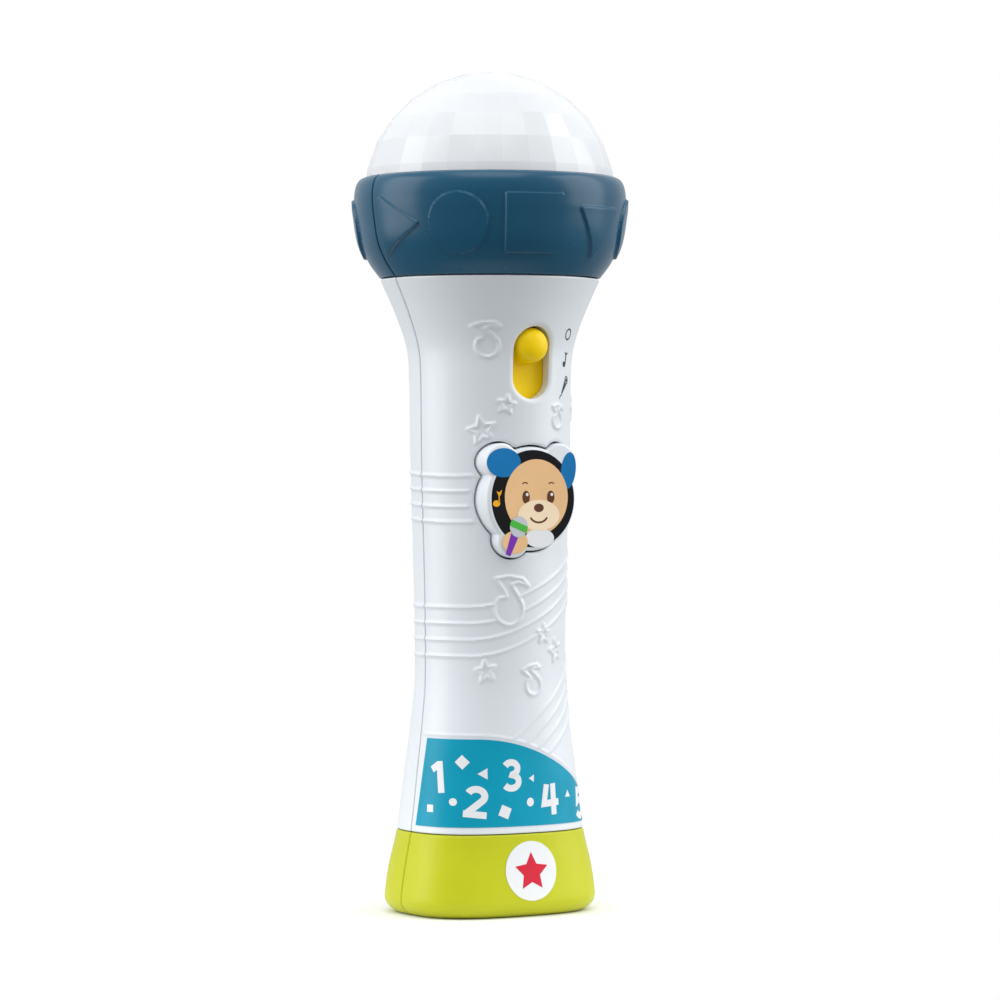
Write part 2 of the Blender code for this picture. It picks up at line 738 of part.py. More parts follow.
def mode_knob():
    """The knob, the plate that slides behind the slot, and the fork that moves the switch."""
    half_width, half_length = KNOB_PLATE_HALF
    plate = solid(
        "mode_knob",
        boxes=(
            (
                (-half_width, KNOB_PLATE_FRONT, KNOB_HEIGHT - half_length),
                (half_width, KNOB_PLATE_BACK, KNOB_HEIGHT + half_length),
            ),
        ),
        look=YELLOW,
    )
    rise = -KNOB_TIP
    cap = turned(
        "knob_cap",
        (
            (0.0, rise),
            (2.0, rise - 0.25),
            (3.6, rise - 1.0),
            (4.5, rise - 2.2),
            (KNOB_RADIUS, rise - 3.6),
            (KNOB_RADIUS, -KNOB_PLATE_BACK + 0.6),
            (0.0, -KNOB_PLATE_BACK + 0.6),
        ),
        steps=24,
        at=(0, 0, KNOB_HEIGHT),
        turn=TOWARDS_FRONT,
    )
    combine(plate, cap, "UNION")
    prongs = [
        ((-2.5, KNOB_PLATE_BACK - 0.5, KNOB_HEIGHT + low), (2.5, -10.4, KNOB_HEIGHT + low + 1.4))
        for low in (1.3, -2.7)
    ]
    combine(plate, solid("knob_fork", boxes=prongs), "UNION")
    return set_origin(plate, (0, KNOB_PLATE_FRONT, KNOB_HEIGHT))


def song_button():
    """A hollow cap with side tabs that hold it in, and a stem over the rubber contact."""
    depth = BUTTON_BACK - BUTTON_FACE
    cap = prism(
        "song_button", button_outline(), (0, BUTTON_FACE + depth / 2, 0), depth, look=WHITE
    )
    hollow_front = BUTTON_FACE + BUTTON_PLATE
    hollow_depth = BUTTON_BACK + 1.0 - hollow_front
    hollow = prism(
        "button_hollow", button_outline(-BUTTON_SKIRT), (0, hollow_front + hollow_depth / 2, 0), hollow_depth
    )
    combine(cap, hollow, "DIFFERENCE")
    wings = []
    for side in (-1, 1):
        near, far = sorted((side * 13.0, side * 15.0))
        wings.append(((near, -10.6, BUTTON_HEIGHT - 3.5), (far, BUTTON_BACK - 0.1, BUTTON_HEIGHT + 3.5)))
    combine(cap, solid("button_wings", boxes=wings), "UNION")
    stem = ((0, BUTTON_FACE + 1.0, BUTTON_HEIGHT), (0, -8.9, BUTTON_HEIGHT), 3.0)
    combine(cap, solid("button_stem", rods=(stem,)), "UNION")
    return set_origin(cap, (0, BUTTON_FACE, BUTTON_HEIGHT))


def button_sticker():
    thickness = 0.2
    middle = (0, BUTTON_FACE - GAP - thickness / 2, 0)
    sticker = prism("button_sticker", button_outline(-1.0), middle, thickness, look=BLACK_FILM)
    return set_origin(sticker, (0, BUTTON_FACE, BUTTON_HEIGHT))


def rubber_dome():
    profile = ((0.0, 8.6), (2.6, 8.6), (3.4, 7.6), (5.0, 5.8), (6.0, 5.8), (6.0, 4.9), (0.0, 4.9))
    at = (0, 0, BUTTON_HEIGHT)
    return turned("rubber_dome", profile, RUBBER, steps=20, at=at, turn=TOWARDS_FRONT)


def slide_switch():
    front = BOARD_FRONT - GAP
    low, high = SLOT_HEIGHT - 10, SLOT_HEIGHT + 10
    body = solid("slide_switch_body", boxes=(((-3.5, -9.3, low), (3.5, front, high)),), look=TIN)
    end = 1.0 + GAP + 0.1
    pocket = solid(
        "switch_pocket",
        boxes=(
            (
                (-1.4, -12.0, KNOB_HEIGHT - KNOB_TRAVEL - end),
                (1.4, -7.0, KNOB_HEIGHT + end),
            ),
        ),
    )
    combine(body, pocket, "DIFFERENCE")
    lever = ((-1.0, -12.4, KNOB_HEIGHT - 1.0), (1.0, -7.3, KNOB_HEIGHT + 1.0))
    set_origin(solid("slide_switch_lever", boxes=(lever,), look=CHIP), (0, -9.0, KNOB_HEIGHT))


def main_board():
    board = solid(
        "main_board",
        boxes=(((-BOARD_HALF_WIDTH, BOARD_FRONT, BOARD_LOW), (BOARD_HALF_WIDTH, BOARD_BACK, BOARD_HIGH)),),
        look=BOARD,
    )
    holes = [((x, -8, z), (x, 1, z), 1.6) for x, z in BOARD_SCREWS]
    combine(board, solid("board_holes", rods=holes, segments=10), "DIFFERENCE")
    low = (-5.0, BOARD_BACK + GAP, 108.0)
    high = (5.0, BOARD_BACK + GAP + 2.2, 118.0)
    solid("controller_chip", boxes=((low, high),), look=CHIP)


# ---------------------------------------------------------------- sound


def speaker():
    at = (0, 0, SPEAKER_HEIGHT)
    frame = (
        (SPEAKER_RADIUS, 12.6),
        (SPEAKER_RADIUS, 11.2),
        (12.6, 11.2),
        (9.0, 6.5),
        (3.4, 6.5),
        (3.4, 7.5),
        (8.4, 7.5),
        (11.8, 12.6),
    )
    turned("speaker_frame", frame, STEEL, steps=26, closed=True, at=at, turn=TOWARDS_REAR)
    cone = (
        (0.0, 11.0),
        (2.5, 10.6),
        (3.2, 9.6),
        (9.5, 12.2),
        (10.3, 12.6),
        (10.9, 12.3),
        (10.0, 11.4),
        (3.0, 8.8),
        (0.0, 8.4),
    )
    turned("speaker_cone", cone, CONE, steps=20, at=at, turn=TOWARDS_REAR)
    magnet = ((0.0, 6.2), (7.0, 6.2), (7.4, 5.8), (7.4, 1.9), (7.0, 1.5), (0.0, 1.5))
    turned("speaker_magnet", magnet, STEEL, steps=20, at=at, turn=TOWARDS_REAR)


def microphone():
    at = (MIC[0], 0, MIC[1])
    capsule = ((0.0, 18.7), (2.6, 18.7), (3.0, 18.3), (3.0, 15.8), (0.0, 15.8))
    turned("mic_capsule", capsule, TIN, steps=18, at=at, turn=TOWARDS_REAR)
    boot = ((4.2, 18.9), (4.2, 15.4), (3.3, 15.4), (3.3, 18.9))
    turned("mic_boot", boot, RUBBER, steps=22, closed=True, at=at, turn=TOWARDS_REAR)


# ---------------------------------------------------------------- power


def battery_tray():
    floor = ((-16.4, -3.6, 24.5), (16.4, -2.4, TRAY_HIGH))
    tray = solid("battery_tray", boxes=(floor,), look=TRAY_BLACK)
    walls = []
    for side in (-1, 1):
        near, far = sorted((side * 15.4, side * 16.4))
        walls.append(((near, -3.0, TRAY_LOW), (far, 5.0, TRAY_HIGH)))
    for low in (TRAY_LOW, TRAY_HIGH - 1.2):
        walls.append(((-16.0, -3.0, low), (16.0, 4.9, low + 1.2)))
        walls.append(((-12.5, -2.9, low + 0.02), (12.5, 11.8, low + 1.18)))
    post = ((0, -3.0, DOOR_SCREW_HEIGHT), (0, 7.1, DOOR_SCREW_HEIGHT), 3.0)
    combine(tray, solid("tray_walls", boxes=walls, rods=(post,)), "UNION", overlapping=True)
    pilot = ((0, 2.5, DOOR_SCREW_HEIGHT), (0, 8.0, DOOR_SCREW_HEIGHT), 1.6)
    return combine(tray, solid("tray_pilot_hole", rods=(pilot,), segments=10), "DIFFERENCE")


def battery_door():
    door = handle_ring("battery_door", WHITE)
    combine(door, door_window("door_blank", 0.0), "INTERSECT")
    boss = ((0, 13.7, DOOR_SCREW_HEIGHT), (0, 30, DOOR_SCREW_HEIGHT), 4.4)
    combine(door, clipped("door_boss", HANDLE_CORE, rods=(boss,)), "UNION")
    tabs = []
    for side in (-1, 1):
        near, far = sorted((side * 5.5, side * 10.5))
        tabs.append(((near, 12.8, 84.5), (far, 14.0, 91.0)))
        tabs.append(((near, 12.85, 84.6), (far, 17.3, 87.6)))
    combine(door, solid("door_tabs", boxes=tabs), "UNION", overlapping=True)
    holes = (
        ((0, 12.0, DOOR_SCREW_HEIGHT), (0, 18.0, DOOR_SCREW_HEIGHT), 1.7),
        ((0, 15.5, DOOR_SCREW_HEIGHT), (0, 30.0, DOOR_SCREW_HEIGHT), 3.3),
    )
    tool = solid("door_screw_hole", rods=holes, segments=14)
    combine(door, tool, "DIFFERENCE", overlapping=True)
    grips = [((-5, 18.9, z), (5, 25, z + 0.9)) for z in (74.0, 76.5, 79.0)]
    combine(door, solid("door_grip_grooves", boxes=grips), "DIFFERENCE")
    return set_origin(door, (0, *DOOR_HINGE))


def cell(name, side, low, nub_up):
    """An AA cell with its raised positive end."""
    profile = [
        (0.0, CELL_LENGTH + CELL_NUB),
        (2.6, CELL_LENGTH + CELL_NUB),
        (2.6, CELL_LENGTH),
        (CELL_RADIUS - 0.6, CELL_LENGTH),
        (CELL_RADIUS, CELL_LENGTH - 0.6),
        (CELL_RADIUS, 0.5),
        (CELL_RADIUS - 0.5, 0.0),
        (0.0, 0.0),
    ]
    flip = 0 if nub_up else 180
    base = low if nub_up else low + CELL_LENGTH + CELL_NUB
    at = (side * CELL_OFFSET, CELL_DEPTH, base)
    return turned(name, profile, CELL, steps=22, at=at, turn=(flip, 0, 0))


def contact_spring(name, side, wide_end, narrow_end):
    """A conical contact spring of steel wire."""
    turns, per_turn = 2.5, 10
    samples = int(turns * per_turn)
    curve = bpy.data.curves.new(name, "CURVE")
    curve.dimensions = "3D"
    curve.bevel_depth = 0.32 * MM
    curve.bevel_resolution = 1
    curve.use_fill_caps = True
    spline = curve.splines.new("POLY")
    spline.points.add(samples)
    for i, point in enumerate(spline.points):
        share = i / samples
        angle = 2 * math.pi * turns * share
        radius = 4.2 - 1.9 * share
        place = Vector(
            (
                side * CELL_OFFSET + radius * math.cos(angle),
                CELL_DEPTH + radius * math.sin(angle),
                wide_end + (narrow_end - wide_end) * share,
            )
        )
        point.co = (*(place * MM), 1.0)
    curve.materials.append(TIN)
    obj = bpy.data.objects.new(name, curve)
    PART.objects.link(obj)
    return obj


def contacts():
    contact_spring("contact_spring_left", -1, 32.85, 35.35)
    contact_spring("contact_spring_right", 1, 86.15, 84.45)
    solid("contact_plate", boxes=(((3.6, 0.5, 32.5), (11.6, 9.5, 33.0)),), look=TIN)
    solid("bridge_plate", boxes=(((-11.6, 0.5, 86.8), (11.6, 9.5, 87.3)),), look=TIN)


def door_screw():
    at = (0, 15.8, DOOR_SCREW_HEIGHT)
    screw_piece("door_screw", at, TOWARDS_REAR, 2.8, 2.5, 1.3, 12.3)
    ring = ((2.5, 8.4), (2.5, 7.4), (1.6, 7.4), (1.6, 8.4))
    at = (0, 0, DOOR_SCREW_HEIGHT)
    turned("screw_retainer", ring, STEEL, steps=18, closed=True, at=at, turn=TOWARDS_REAR)


# ---------------------------------------------------------------- fasteners, wires and stickers


def fasteners():
    for i, (x, z) in enumerate(SHELL_SCREWS, 1):
        screw_piece(f"shell_screw_{i}", (x, 5.3, z), TOWARDS_REAR, 2.4, 1.8, 1.3, 13.5)
    for side, (x, z) in zip(("left", "right"), BASE_SCREWS):
        screw_piece(f"base_screw_{side}", (x, 5.3, z), TOWARDS_REAR, 2.4, 1.8, 1.3, 13.5)
    for side, (x, z) in zip(("left", "right"), COLLAR_SCREWS):
        screw_piece(f"collar_screw_{side}", (x, 5.3, z), TOWARDS_REAR, 2.0, 1.6, 1.1, 13.5)
    for i, (x, z) in enumerate(BOARD_SCREWS, 1):
        screw_piece(f"board_screw_{i}", (x, BOARD_BACK + GAP, z), TOWARDS_REAR, 2.2, 1.4, 1.0, 9.0)
    for i, (x, z) in enumerate(speaker_posts(), 1):
        screw_piece(f"speaker_screw_{i}", (x, 10.6, z), TOWARDS_FRONT, 2.8, 1.4, 1.1, 6.5)


def wires():
    for name, side, look in (("red", 1, RED_WIRE), ("black", -1, BLACK_WIRE)):
        wire(
            f"battery_wire_{name}",
            (
                (side * 10, -5.4, 34),
                (side * 10, -5.8, 55),
                (side * 10, -5.8, 84),
                (side * 7.5, -6.4, 93),
                (side * 6, -5.7, 101),
            ),
            look,
        )
        wire(
            f"speaker_wire_{name}",
            (
                (side * 3.5, -2.0, 126),
                (side * 4.5, 0.2, 123.5),
                (side * 6.5, 6.0, 125),
                (side * 7.0, 9.2, 130),
            ),
            look,
            radius=0.5,
            samples=10,
        )
    wire(
        "microphone_wire",
        ((-8, -2.1, 151), (-9.5, 2.0, 158), (-9.5, 8.0, 162), (-9.0, 14.8, 160)),
        BLACK_WIRE,
        radius=0.5,
        samples=12,
    )
    wire(
        "led_wire",
        ((5, -2.1, 152), (7.5, 0.0, 160), (8.5, 1.0, 166), (8.5, 1.0, 171.4)),
        RED_WIRE,
        radius=0.5,
        samples=12,
    )


def band_top(angle):
    """The upper edge of the number band: level on the left, falling away to the right."""
    fall = max(0.0, (angle + 40.0) / 125.0)
    return 46.6 - 22.1 * fall**1.9


def film(name, rows, look, wrap_around=False):
    bm = bmesh.new()
    skin(bm, rows, wrap_around=wrap_around)
    middle = Vector((0, 0, 30 * MM))
    for face in bm.faces:
        outward = face.calc_center_median() - middle
        outward.z = 0
        if face.normal.dot(outward) < 0:
            face.normal_flip()
    obj = object_from(name, bm, look)
    thicken = obj.modifiers.new("thickness", "SOLIDIFY")
    thicken.thickness = STICKER_THICKNESS * MM
    thicken.offset = 1.0
    return obj


def number_sticker():
    start, end, low = NUMBER_BAND
    rows = []
    for share in (0.0, 0.5, 1.0):
        row = []
        for angle in steps_between(start, end, 26):
            height = low + (band_top(angle) - low) * share
            row.append(surface_point(math.radians(angle), height, -STICKER_GAP))
        rows.append(row)
    return film("number_sticker", rows, BLUE_FILM)


def base_badge():
    rows = []
    for radius in (BADGE_RADIUS, BADGE_RADIUS * 0.6, BADGE_RADIUS * 0.2):
        row = []
        for across, up in polygon(radius, 24):
            height = BADGE_HEIGHT + up
            row.append(Vector((across, front_depth(across, height) - STICKER_GAP, height)))
        rows.append(row)
    bm = bmesh.new()
    skin(bm, rows)
    bmesh.ops.holes_fill(bm, edges=[e for e in bm.edges if e.is_boundary and near_badge_middle(e)])
    for face in bm.faces:
        face.normal_update()
        if face.normal.y > 0:
            face.normal_flip()
    obj = object_from("base_badge", bm, WHITE_FILM)
    thicken = obj.modifiers.new("thickness", "SOLIDIFY")
    thicken.thickness = STICKER_THICKNESS * MM
    thicken.offset = 1.0
    return obj


def near_badge_middle(edge):
    middle = Vector((0, 0, BADGE_HEIGHT * MM))
    flat = (edge.verts[0].co - middle) * Vector((1, 0, 1))
    return flat.length < BADGE_RADIUS * 0.5 * MM


front_shell()
rear_shell()
base_front()
base_rear()
collar_front()
collar_rear()
dome_lens()
light_reflector()
led_board()
leds()
mode_knob()
song_button()
button_sticker()
rubber_dome()
slide_switch()
main_board()
speaker()
microphone()
battery_tray()
battery_door()
cell("battery_left", -1, 36.0, nub_up=True)
cell("battery_right", 1, 33.3, nub_up=False)
contacts()
door_screw()
fasteners()
wires()
number_sticker()
base_badge()
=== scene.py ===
import json
from math import ceil, cos, floor, pi, radians, sin

import bmesh
import bpy
import numpy as np
from mathutils import Matrix, Vector


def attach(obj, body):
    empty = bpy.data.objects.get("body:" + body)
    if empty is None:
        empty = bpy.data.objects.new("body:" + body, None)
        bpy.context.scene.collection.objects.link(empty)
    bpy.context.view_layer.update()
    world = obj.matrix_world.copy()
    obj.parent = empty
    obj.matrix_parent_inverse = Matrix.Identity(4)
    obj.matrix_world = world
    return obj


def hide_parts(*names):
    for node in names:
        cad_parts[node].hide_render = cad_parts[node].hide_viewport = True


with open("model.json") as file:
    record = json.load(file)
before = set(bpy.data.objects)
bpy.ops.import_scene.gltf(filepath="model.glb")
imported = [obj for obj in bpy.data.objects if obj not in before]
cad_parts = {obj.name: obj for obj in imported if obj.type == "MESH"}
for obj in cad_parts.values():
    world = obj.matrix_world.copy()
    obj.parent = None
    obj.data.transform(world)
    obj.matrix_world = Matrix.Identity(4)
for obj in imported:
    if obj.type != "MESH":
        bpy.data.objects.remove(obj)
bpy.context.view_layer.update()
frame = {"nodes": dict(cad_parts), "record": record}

# The microphone stands on its base, +Z up, with its front towards -Y. Lengths are in millimetres until a
# mesh is made. Angles round the handle run from the front towards +X.
MM = 0.001
GAP = 0.3
WALL = 2.2
BODY = "microphone_body"
# Faces that meet at less than this many degrees are shaded smooth.
SMOOTH = 30.0
ROD_SIDES = 40
# A depth that is past the outside of the handle.
OUTSIDE = 30

# Handle and base: height, half-width at the side, half-depth at the front, corner power (2 is an ellipse).
OUTLINE = np.array((
    (0.0, 27.6, 21.7, 2.8), (5.0, 27.4, 21.5, 2.8), (12.0, 26.4, 20.7, 2.8), (22.0, 24.5, 19.9, 2.55),
    (39.0, 22.4, 19.7, 2.3), (50.0, 21.1, 19.4, 2.15), (62.0, 20.1, 19.3, 2.03), (82.0, 20.2, 19.9, 2.0),
    (119.5, 21.2, 20.9, 2.0), (142.0, 21.5, 21.5, 2.0), (149.3, 22.2, 22.2, 2.0), (157.8, 25.0, 25.0, 2.0),
    (167.1, 29.1, 29.1, 2.0),
))
BASE_TOP, BASE_FLOOR, BASE_ROUND = 21.7, 2.5, 4.5
SHELL_LOW, SHELL_HIGH = 22.0, 167.1
SPIGOT_LOW, SPIGOT_HIGH = 17.5, 171.5
SPIGOT_INSET, SPIGOT_INNER = 2.5, 4.7

# Collar: radius and height down its outer side, then up its inner side.
COLLAR_OUTER = (
    (33.4, 194.0), (34.6, 193.4), (35.5, 192.0), (36.0, 189.5), (36.0, 187.0),
    (35.8, 184.5), (34.4, 176.5), (32.0, 171.4), (29.1, 167.4),
)
COLLAR_INNER = (
    (26.9, 167.4), (26.9, 172.2), (31.8, 177.0), (33.0, 186.0),
    (33.0, 187.0), (34.6, 187.0), (34.6, 189.2), (33.8, 189.2),
)

DOME_CENTRE, DOME_RADIUS, DOME_WALL, DOME_FACETS = 188.8, 33.4, 1.5, 28
FLANGE_RADIUS, FLANGE_LOW, FLANGE_HIGH = 34.2, 187.3, 188.9

BUTTON_HEIGHT, BUTTON_FACE, BUTTON_BACK = 109.3, -21.0, -9.5
BUTTON_LOBES = ((0.0, 0.0, 13.6), (-8.8, 9.6, 4.9), (8.8, 9.6, 4.9), (-5.3, -10.6, 4.8))
BUTTON_CLEARANCE = 0.5

KNOB_HEIGHT, KNOB_TRAVEL, KNOB_RADIUS, KNOB_TIP = 149.3, 9.0, 4.7, -24.0
PLATE_FRONT, PLATE_BACK, PLATE_HALF = -17.3, -15.8, (7.0, 14.5)
SLOT_HEIGHT = KNOB_HEIGHT - KNOB_TRAVEL / 2
SLOT_HALF = (5.5, 9.5)

SPEAKER_HEIGHT, SPEAKER_POST_REACH = 145.0, 16.6
MIC = (-9.0, 160.0)
SHELL_SCREWS = ((0.0, 95.0), (-15.5, 122.0), (15.5, 122.0))
BASE_SCREWS = ((-15.0, 10.0), (15.0, 10.0))
COLLAR_SCREWS = ((-21.6, 177.0), (30.5, 177.0))
DOOR_HALF_WIDTH, DOOR_LOW, DOOR_HIGH = 14.9, 23.9, 88.2
DOOR_SCREW_HEIGHT = 28.0
BADGE_HEIGHT, BADGE_RADIUS = 12.1, 7.75

# ---- outline of the handle


def blend(t, low, high, slope_low, slope_high):
    """A smooth run from low to high as t goes from 0 to 1, with a slope at each end."""
    return (
        (2 * t**3 - 3 * t**2 + 1) * low
        + (t**3 - 2 * t**2 + t) * slope_low
        + (3 * t**2 - 2 * t**3) * high
        + (t**3 - t**2) * slope_high
    )


def outline_at(height):
    """Half-width, half-depth and corner power at each height, on a smooth curve through OUTLINE."""
    height = np.clip(np.asarray(height, float), OUTLINE[0, 0], OUTLINE[-1, 0])
    i = np.clip(np.searchsorted(OUTLINE[:, 0], height) - 1, 0, len(OUTLINE) - 2)
    before, low = OUTLINE[np.maximum(i - 1, 0)], OUTLINE[i]
    high, after = OUTLINE[i + 1], OUTLINE[np.minimum(i + 2, len(OUTLINE) - 1)]
    span = (high[..., 0] - low[..., 0])[..., None]
    t = (height[..., None] - low[..., :1]) / span
    slope_in = (high - before) / (high[..., :1] - before[..., :1]) * span
    slope_out = (after - low) / (after[..., :1] - low[..., :1]) * span
    value = blend(t, low, high, slope_in, slope_out)
    return value[..., 1], value[..., 2], value[..., 3]


def reach(angle, height, inset=0.0):
    """How far the outline, or a line set in from it, is from the axis at an angle and a height."""
    side, front, power = outline_at(height)
    across = np.abs(np.sin(angle)) / (side - inset)
    along = np.abs(np.cos(angle)) / (front - inset)
    return (across**power + along**power) ** (-1 / power)


def around(angle, radius, height):
    """Points at an angle from the front, a distance from the axis and a height."""
    angle, radius, height = np.broadcast_arrays(angle, radius, height)
    return np.stack((radius * np.sin(angle), -radius * np.cos(angle), height), axis=-1)


def on_handle(across, up, lift):
    """Points on the handle for an arc length across from the front, a height, and a distance off it."""
    side, front, _ = outline_at(up)
    angle = across / ((side + front) / 2)
    return around(angle, reach(angle, up, -lift), up)


def on_front(across, up, lift):
    """Points straight in front of the handle's axis plane, a distance off the surface."""
    side, front, power = outline_at(up)
    depth = (front + lift) * (1 - (np.abs(across) / (side + lift)) ** power) ** (1 / power)
    return np.stack((across, -depth, up), axis=-1)


def on_button(across, up, lift):
    """Points on the button's flat face, from its middle."""
    return np.stack((across, np.full_like(across, BUTTON_FACE - lift), up + BUTTON_HEIGHT), axis=-1)


# ---- distances that draw raised shapes


def to_path(u, v, points, closed=True):
    """How far each place is from the nearest side of a path."""
    ends = list(zip(points, points[1:] + points[:1])) if closed else list(zip(points, points[1:]))
    best = np.full(u.shape, 1e9)
    for (ax, ay), (bx, by) in ends:
        dx, dy = bx - ax, by - ay
        t = np.clip(((u - ax) * dx + (v - ay) * dy) / (dx * dx + dy * dy), 0, 1)
        best = np.minimum(best, np.hypot(u - ax - t * dx, v - ay - t * dy))
    return best


def inside(u, v, points):
    """Which places are inside a closed path."""
    found = np.zeros(u.shape, bool)
    for (ax, ay), (bx, by) in zip(points, points[1:] + points[:1]):
        if ay == by:
            continue
        crosses = (ay > v) != (by > v)
        found ^= crosses & (u < (bx - ax) * (v - ay) / (by - ay) + ax)
    return found


def to_polygon(u, v, points):
    """The distance to a closed path, negative inside it."""
    return np.where(inside(u, v, points), -1, 1) * to_path(u, v, points)


def to_stadium(u, v, half_width, half_length):
    """The distance to a slot with round ends, negative inside it."""
    straight = half_length - half_width
    return np.hypot(u, v - np.clip(v, -straight, straight)) - half_width


def to_button(u, v):
    """The distance to the button's outline, negative inside it."""
    return np.min([np.hypot(u - x, v - z) - radius for x, z, radius in BUTTON_LOBES], axis=0)


def ridge(distance, width, height):
    """A rounded ridge along a line, whose foot is this wide."""
    t = np.clip(2 * distance / width, 0, 1)
    return height * (1 - t * t) ** 2


def plateau(distance, edge, height):
    """A raised area with a rounded edge. The distance is negative inside."""
    t = np.clip(-distance / edge, 0, 1)
    return height * t * t * (3 - 2 * t)


def star(radius, waist=0.45):
    """A star with one point up. Its inner corners are at this share of the radius."""
    points = []
    for i in range(10):
        angle = radians(90.0) + pi * i / 5
        size = radius if i % 2 == 0 else radius * waist
        points.append((size * cos(angle), size * sin(angle)))
    return points


def polygon(radius, corners, first=0.0):
    """The corners of a regular polygon, from one at the given degrees."""
    turns = [radians(first) + 2 * pi * i / corners for i in range(corners)]
    return [(radius * cos(a), radius * sin(a)) for a in turns]


def arc(centre, radius, start, end, count=10):
    """Points along an arc given in degrees. The radius is one number, or one across and one up."""
    wide, high = radius if isinstance(radius, tuple) else (radius, radius)
    turns = [radians(start + (end - start) * i / count) for i in range(count + 1)]
    return [(centre[0] + wide * cos(a), centre[1] + high * sin(a)) for a in turns]


def circle(across, up, radius, count=40):
    return arc((across, up), radius, 0, 360 * (count - 1) / count, count - 1)


def moved(points, across, up, size=1.0, turn=0.0):
    """An outline scaled, turned by some degrees and set at a place."""
    c, s = cos(radians(turn)), sin(radians(turn))
    return [(across + size * (x * c - y * s), up + size * (x * s + y * c)) for x, y in points]


# A quaver as one closed outline: a round head that runs up into a flag with a pointed end each side.
QUAVER = arc((0.1, -1.3), 3.1, 35, -215, 16) + [
    (-1.0, 1.1), (-1.5, 1.9), (-4.0, 4.2), (-1.4, 5.2), (1.7, 5.3), (3.3, 4.2), (0.9, 4.5),
    (-0.5, 3.6), (1.3, 1.9),
]

# ---- raised decoration of the handle

RAISED, LINE_RAISED, LINE_WIDTH = 0.42, 0.42 * 0.8, 1.5
HANDLE_RADIUS, MOTIF_REACH = 20.8, 9
STAFF_LINES = range(4)
# The raised rim of the number band: width, height, and where it fades in and out.
RIM_WIDTH, RIM_HEIGHT, RIM_ENDS = 1.2, 0.2, (-86.5, -85.5, 85.0, 86.0)
# Closed outlines on the handle: shape, angle from the front in degrees, height, size, turn.
MOTIFS = (
    (QUAVER, -33.5, 150.2, 0.92, 0.0),
    (star(3.6), -37.2, 127.1, 1.0, 12.0),
    (star(2.3), -20.0, 133.8, 1.0, -10.0),
    (QUAVER, 25.0, 130.5, 0.62, -8.0),
    (star(3.2), 62.0, 133.0, 1.0, 8.0),
    (QUAVER, -16.4, 82.1, 1.3, -12.0),
    (star(2.9), -34.6, 64.3, 1.0, 10.0),
    (QUAVER, 4.0, 61.5, 0.8, 6.0),
    (star(2.4), 14.0, 73.8, 1.0, 0.0),
    (star(3.0), 29.0, 69.3, 1.0, 14.0),
    (star(2.5), 58.0, 60.0, 1.0, -12.0),
    (QUAVER, 64.0, 84.0, 0.7, -6.0),
)


def staff_heights(degrees):
    """The heights of the staves' lines at an angle from the front: three staves of four lines."""
    upper = [115.2 - 4.0 * i + 1.2 * np.sin(np.radians(degrees + 60.0)) ** 2 for i in STAFF_LINES]
    t = np.clip((degrees + 48.0) / 80.0, 0.0, 2.0)
    sweep = 12.5 * t**2 / (1 + 0.35 * t**2)
    middle = [81.0 - 4.3 * i + sweep * (1 + 0.03 * i) for i in STAFF_LINES]
    lower = [33.0 - 4.2 * i + 0.27 * (degrees + 45.0) + 5.0 for i in STAFF_LINES]
    return upper, middle, lower


def fade(value, start, end):
    """Runs smoothly from 0 at start to 1 at end."""
    t = np.clip((value - start) / (end - start), 0, 1)
    return t * t * (3 - 2 * t)


def decoration(angle, height):
    """How far the handle's surface is raised at each angle (radians) and height."""
    angle, height = np.broadcast_arrays(angle, height)
    degrees = (np.degrees(angle) + 180) % 360 - 180
    arc_length = HANDLE_RADIUS * np.radians(degrees)
    upper, middle, lower = staff_heights(degrees)
    raised = np.zeros(angle.shape)
    ends = 1 - fade(np.abs(degrees), 128.0, 136.0)
    for line in upper + middle:
        raised = np.maximum(raised, ends * ridge(np.abs(height - line), LINE_WIDTH, LINE_RAISED))
    top = band_top(degrees)
    above_band = fade(height, top + 0.6, top + 1.6)
    rising = above_band * fade(degrees, -24.0, -18.0) * (1 - fade(degrees, 78.0, 88.0))
    for line in lower:
        raised = np.maximum(raised, rising * ridge(np.abs(height - line) * 0.87, LINE_WIDTH, LINE_RAISED))
    rim = ridge(np.abs(height - top - 1.0), RIM_WIDTH, RIM_HEIGHT)
    raised = np.maximum(raised, rim * fade(degrees, *RIM_ENDS[:2]) * (1 - fade(degrees, *RIM_ENDS[2:])))
    for shape, place, up, size, turn in MOTIFS:
        across = HANDLE_RADIUS * radians(place)
        outline = moved(shape, across, up, size, turn)
        near = (np.abs(arc_length - across) < MOTIF_REACH) & (np.abs(height - up) < MOTIF_REACH)
        if not near.any():
            continue
        distance = to_polygon(arc_length[near], height[near], outline)
        kept = np.where(distance < 0, 0.0, raised[near])
        raised[near] = np.maximum(kept, ridge(np.abs(distance), LINE_WIDTH, RAISED))
    return raised


def band_top(degrees):
    """The upper edge of the number band: level on the left, falling away to the right."""
    fall = np.maximum(0.0, (degrees + 40.0) / 125.0)
    return 46.6 - 22.1 * fall**1.9


# ---- meshes


def keep(obj, body, nodes, look):
    """A finished piece: it takes one material, rides on a body and hides the CAD nodes that it replaces."""
    obj.data.materials.clear()
    obj.data.materials.append(look)
    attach(obj, body)
    if nodes:
        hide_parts(*nodes)


def new_object(name, data):
    obj = bpy.data.objects.new(name, data)
    bpy.context.scene.collection.objects.link(obj)
    return obj


def shade(mesh, smooth):
    """Smooth shading up to an angle between faces, or flat shading for None."""
    if smooth is None:
        mesh.shade_flat()
        return
    mesh.shade_smooth()
    mesh.set_sharp_from_angle(angle=radians(smooth))


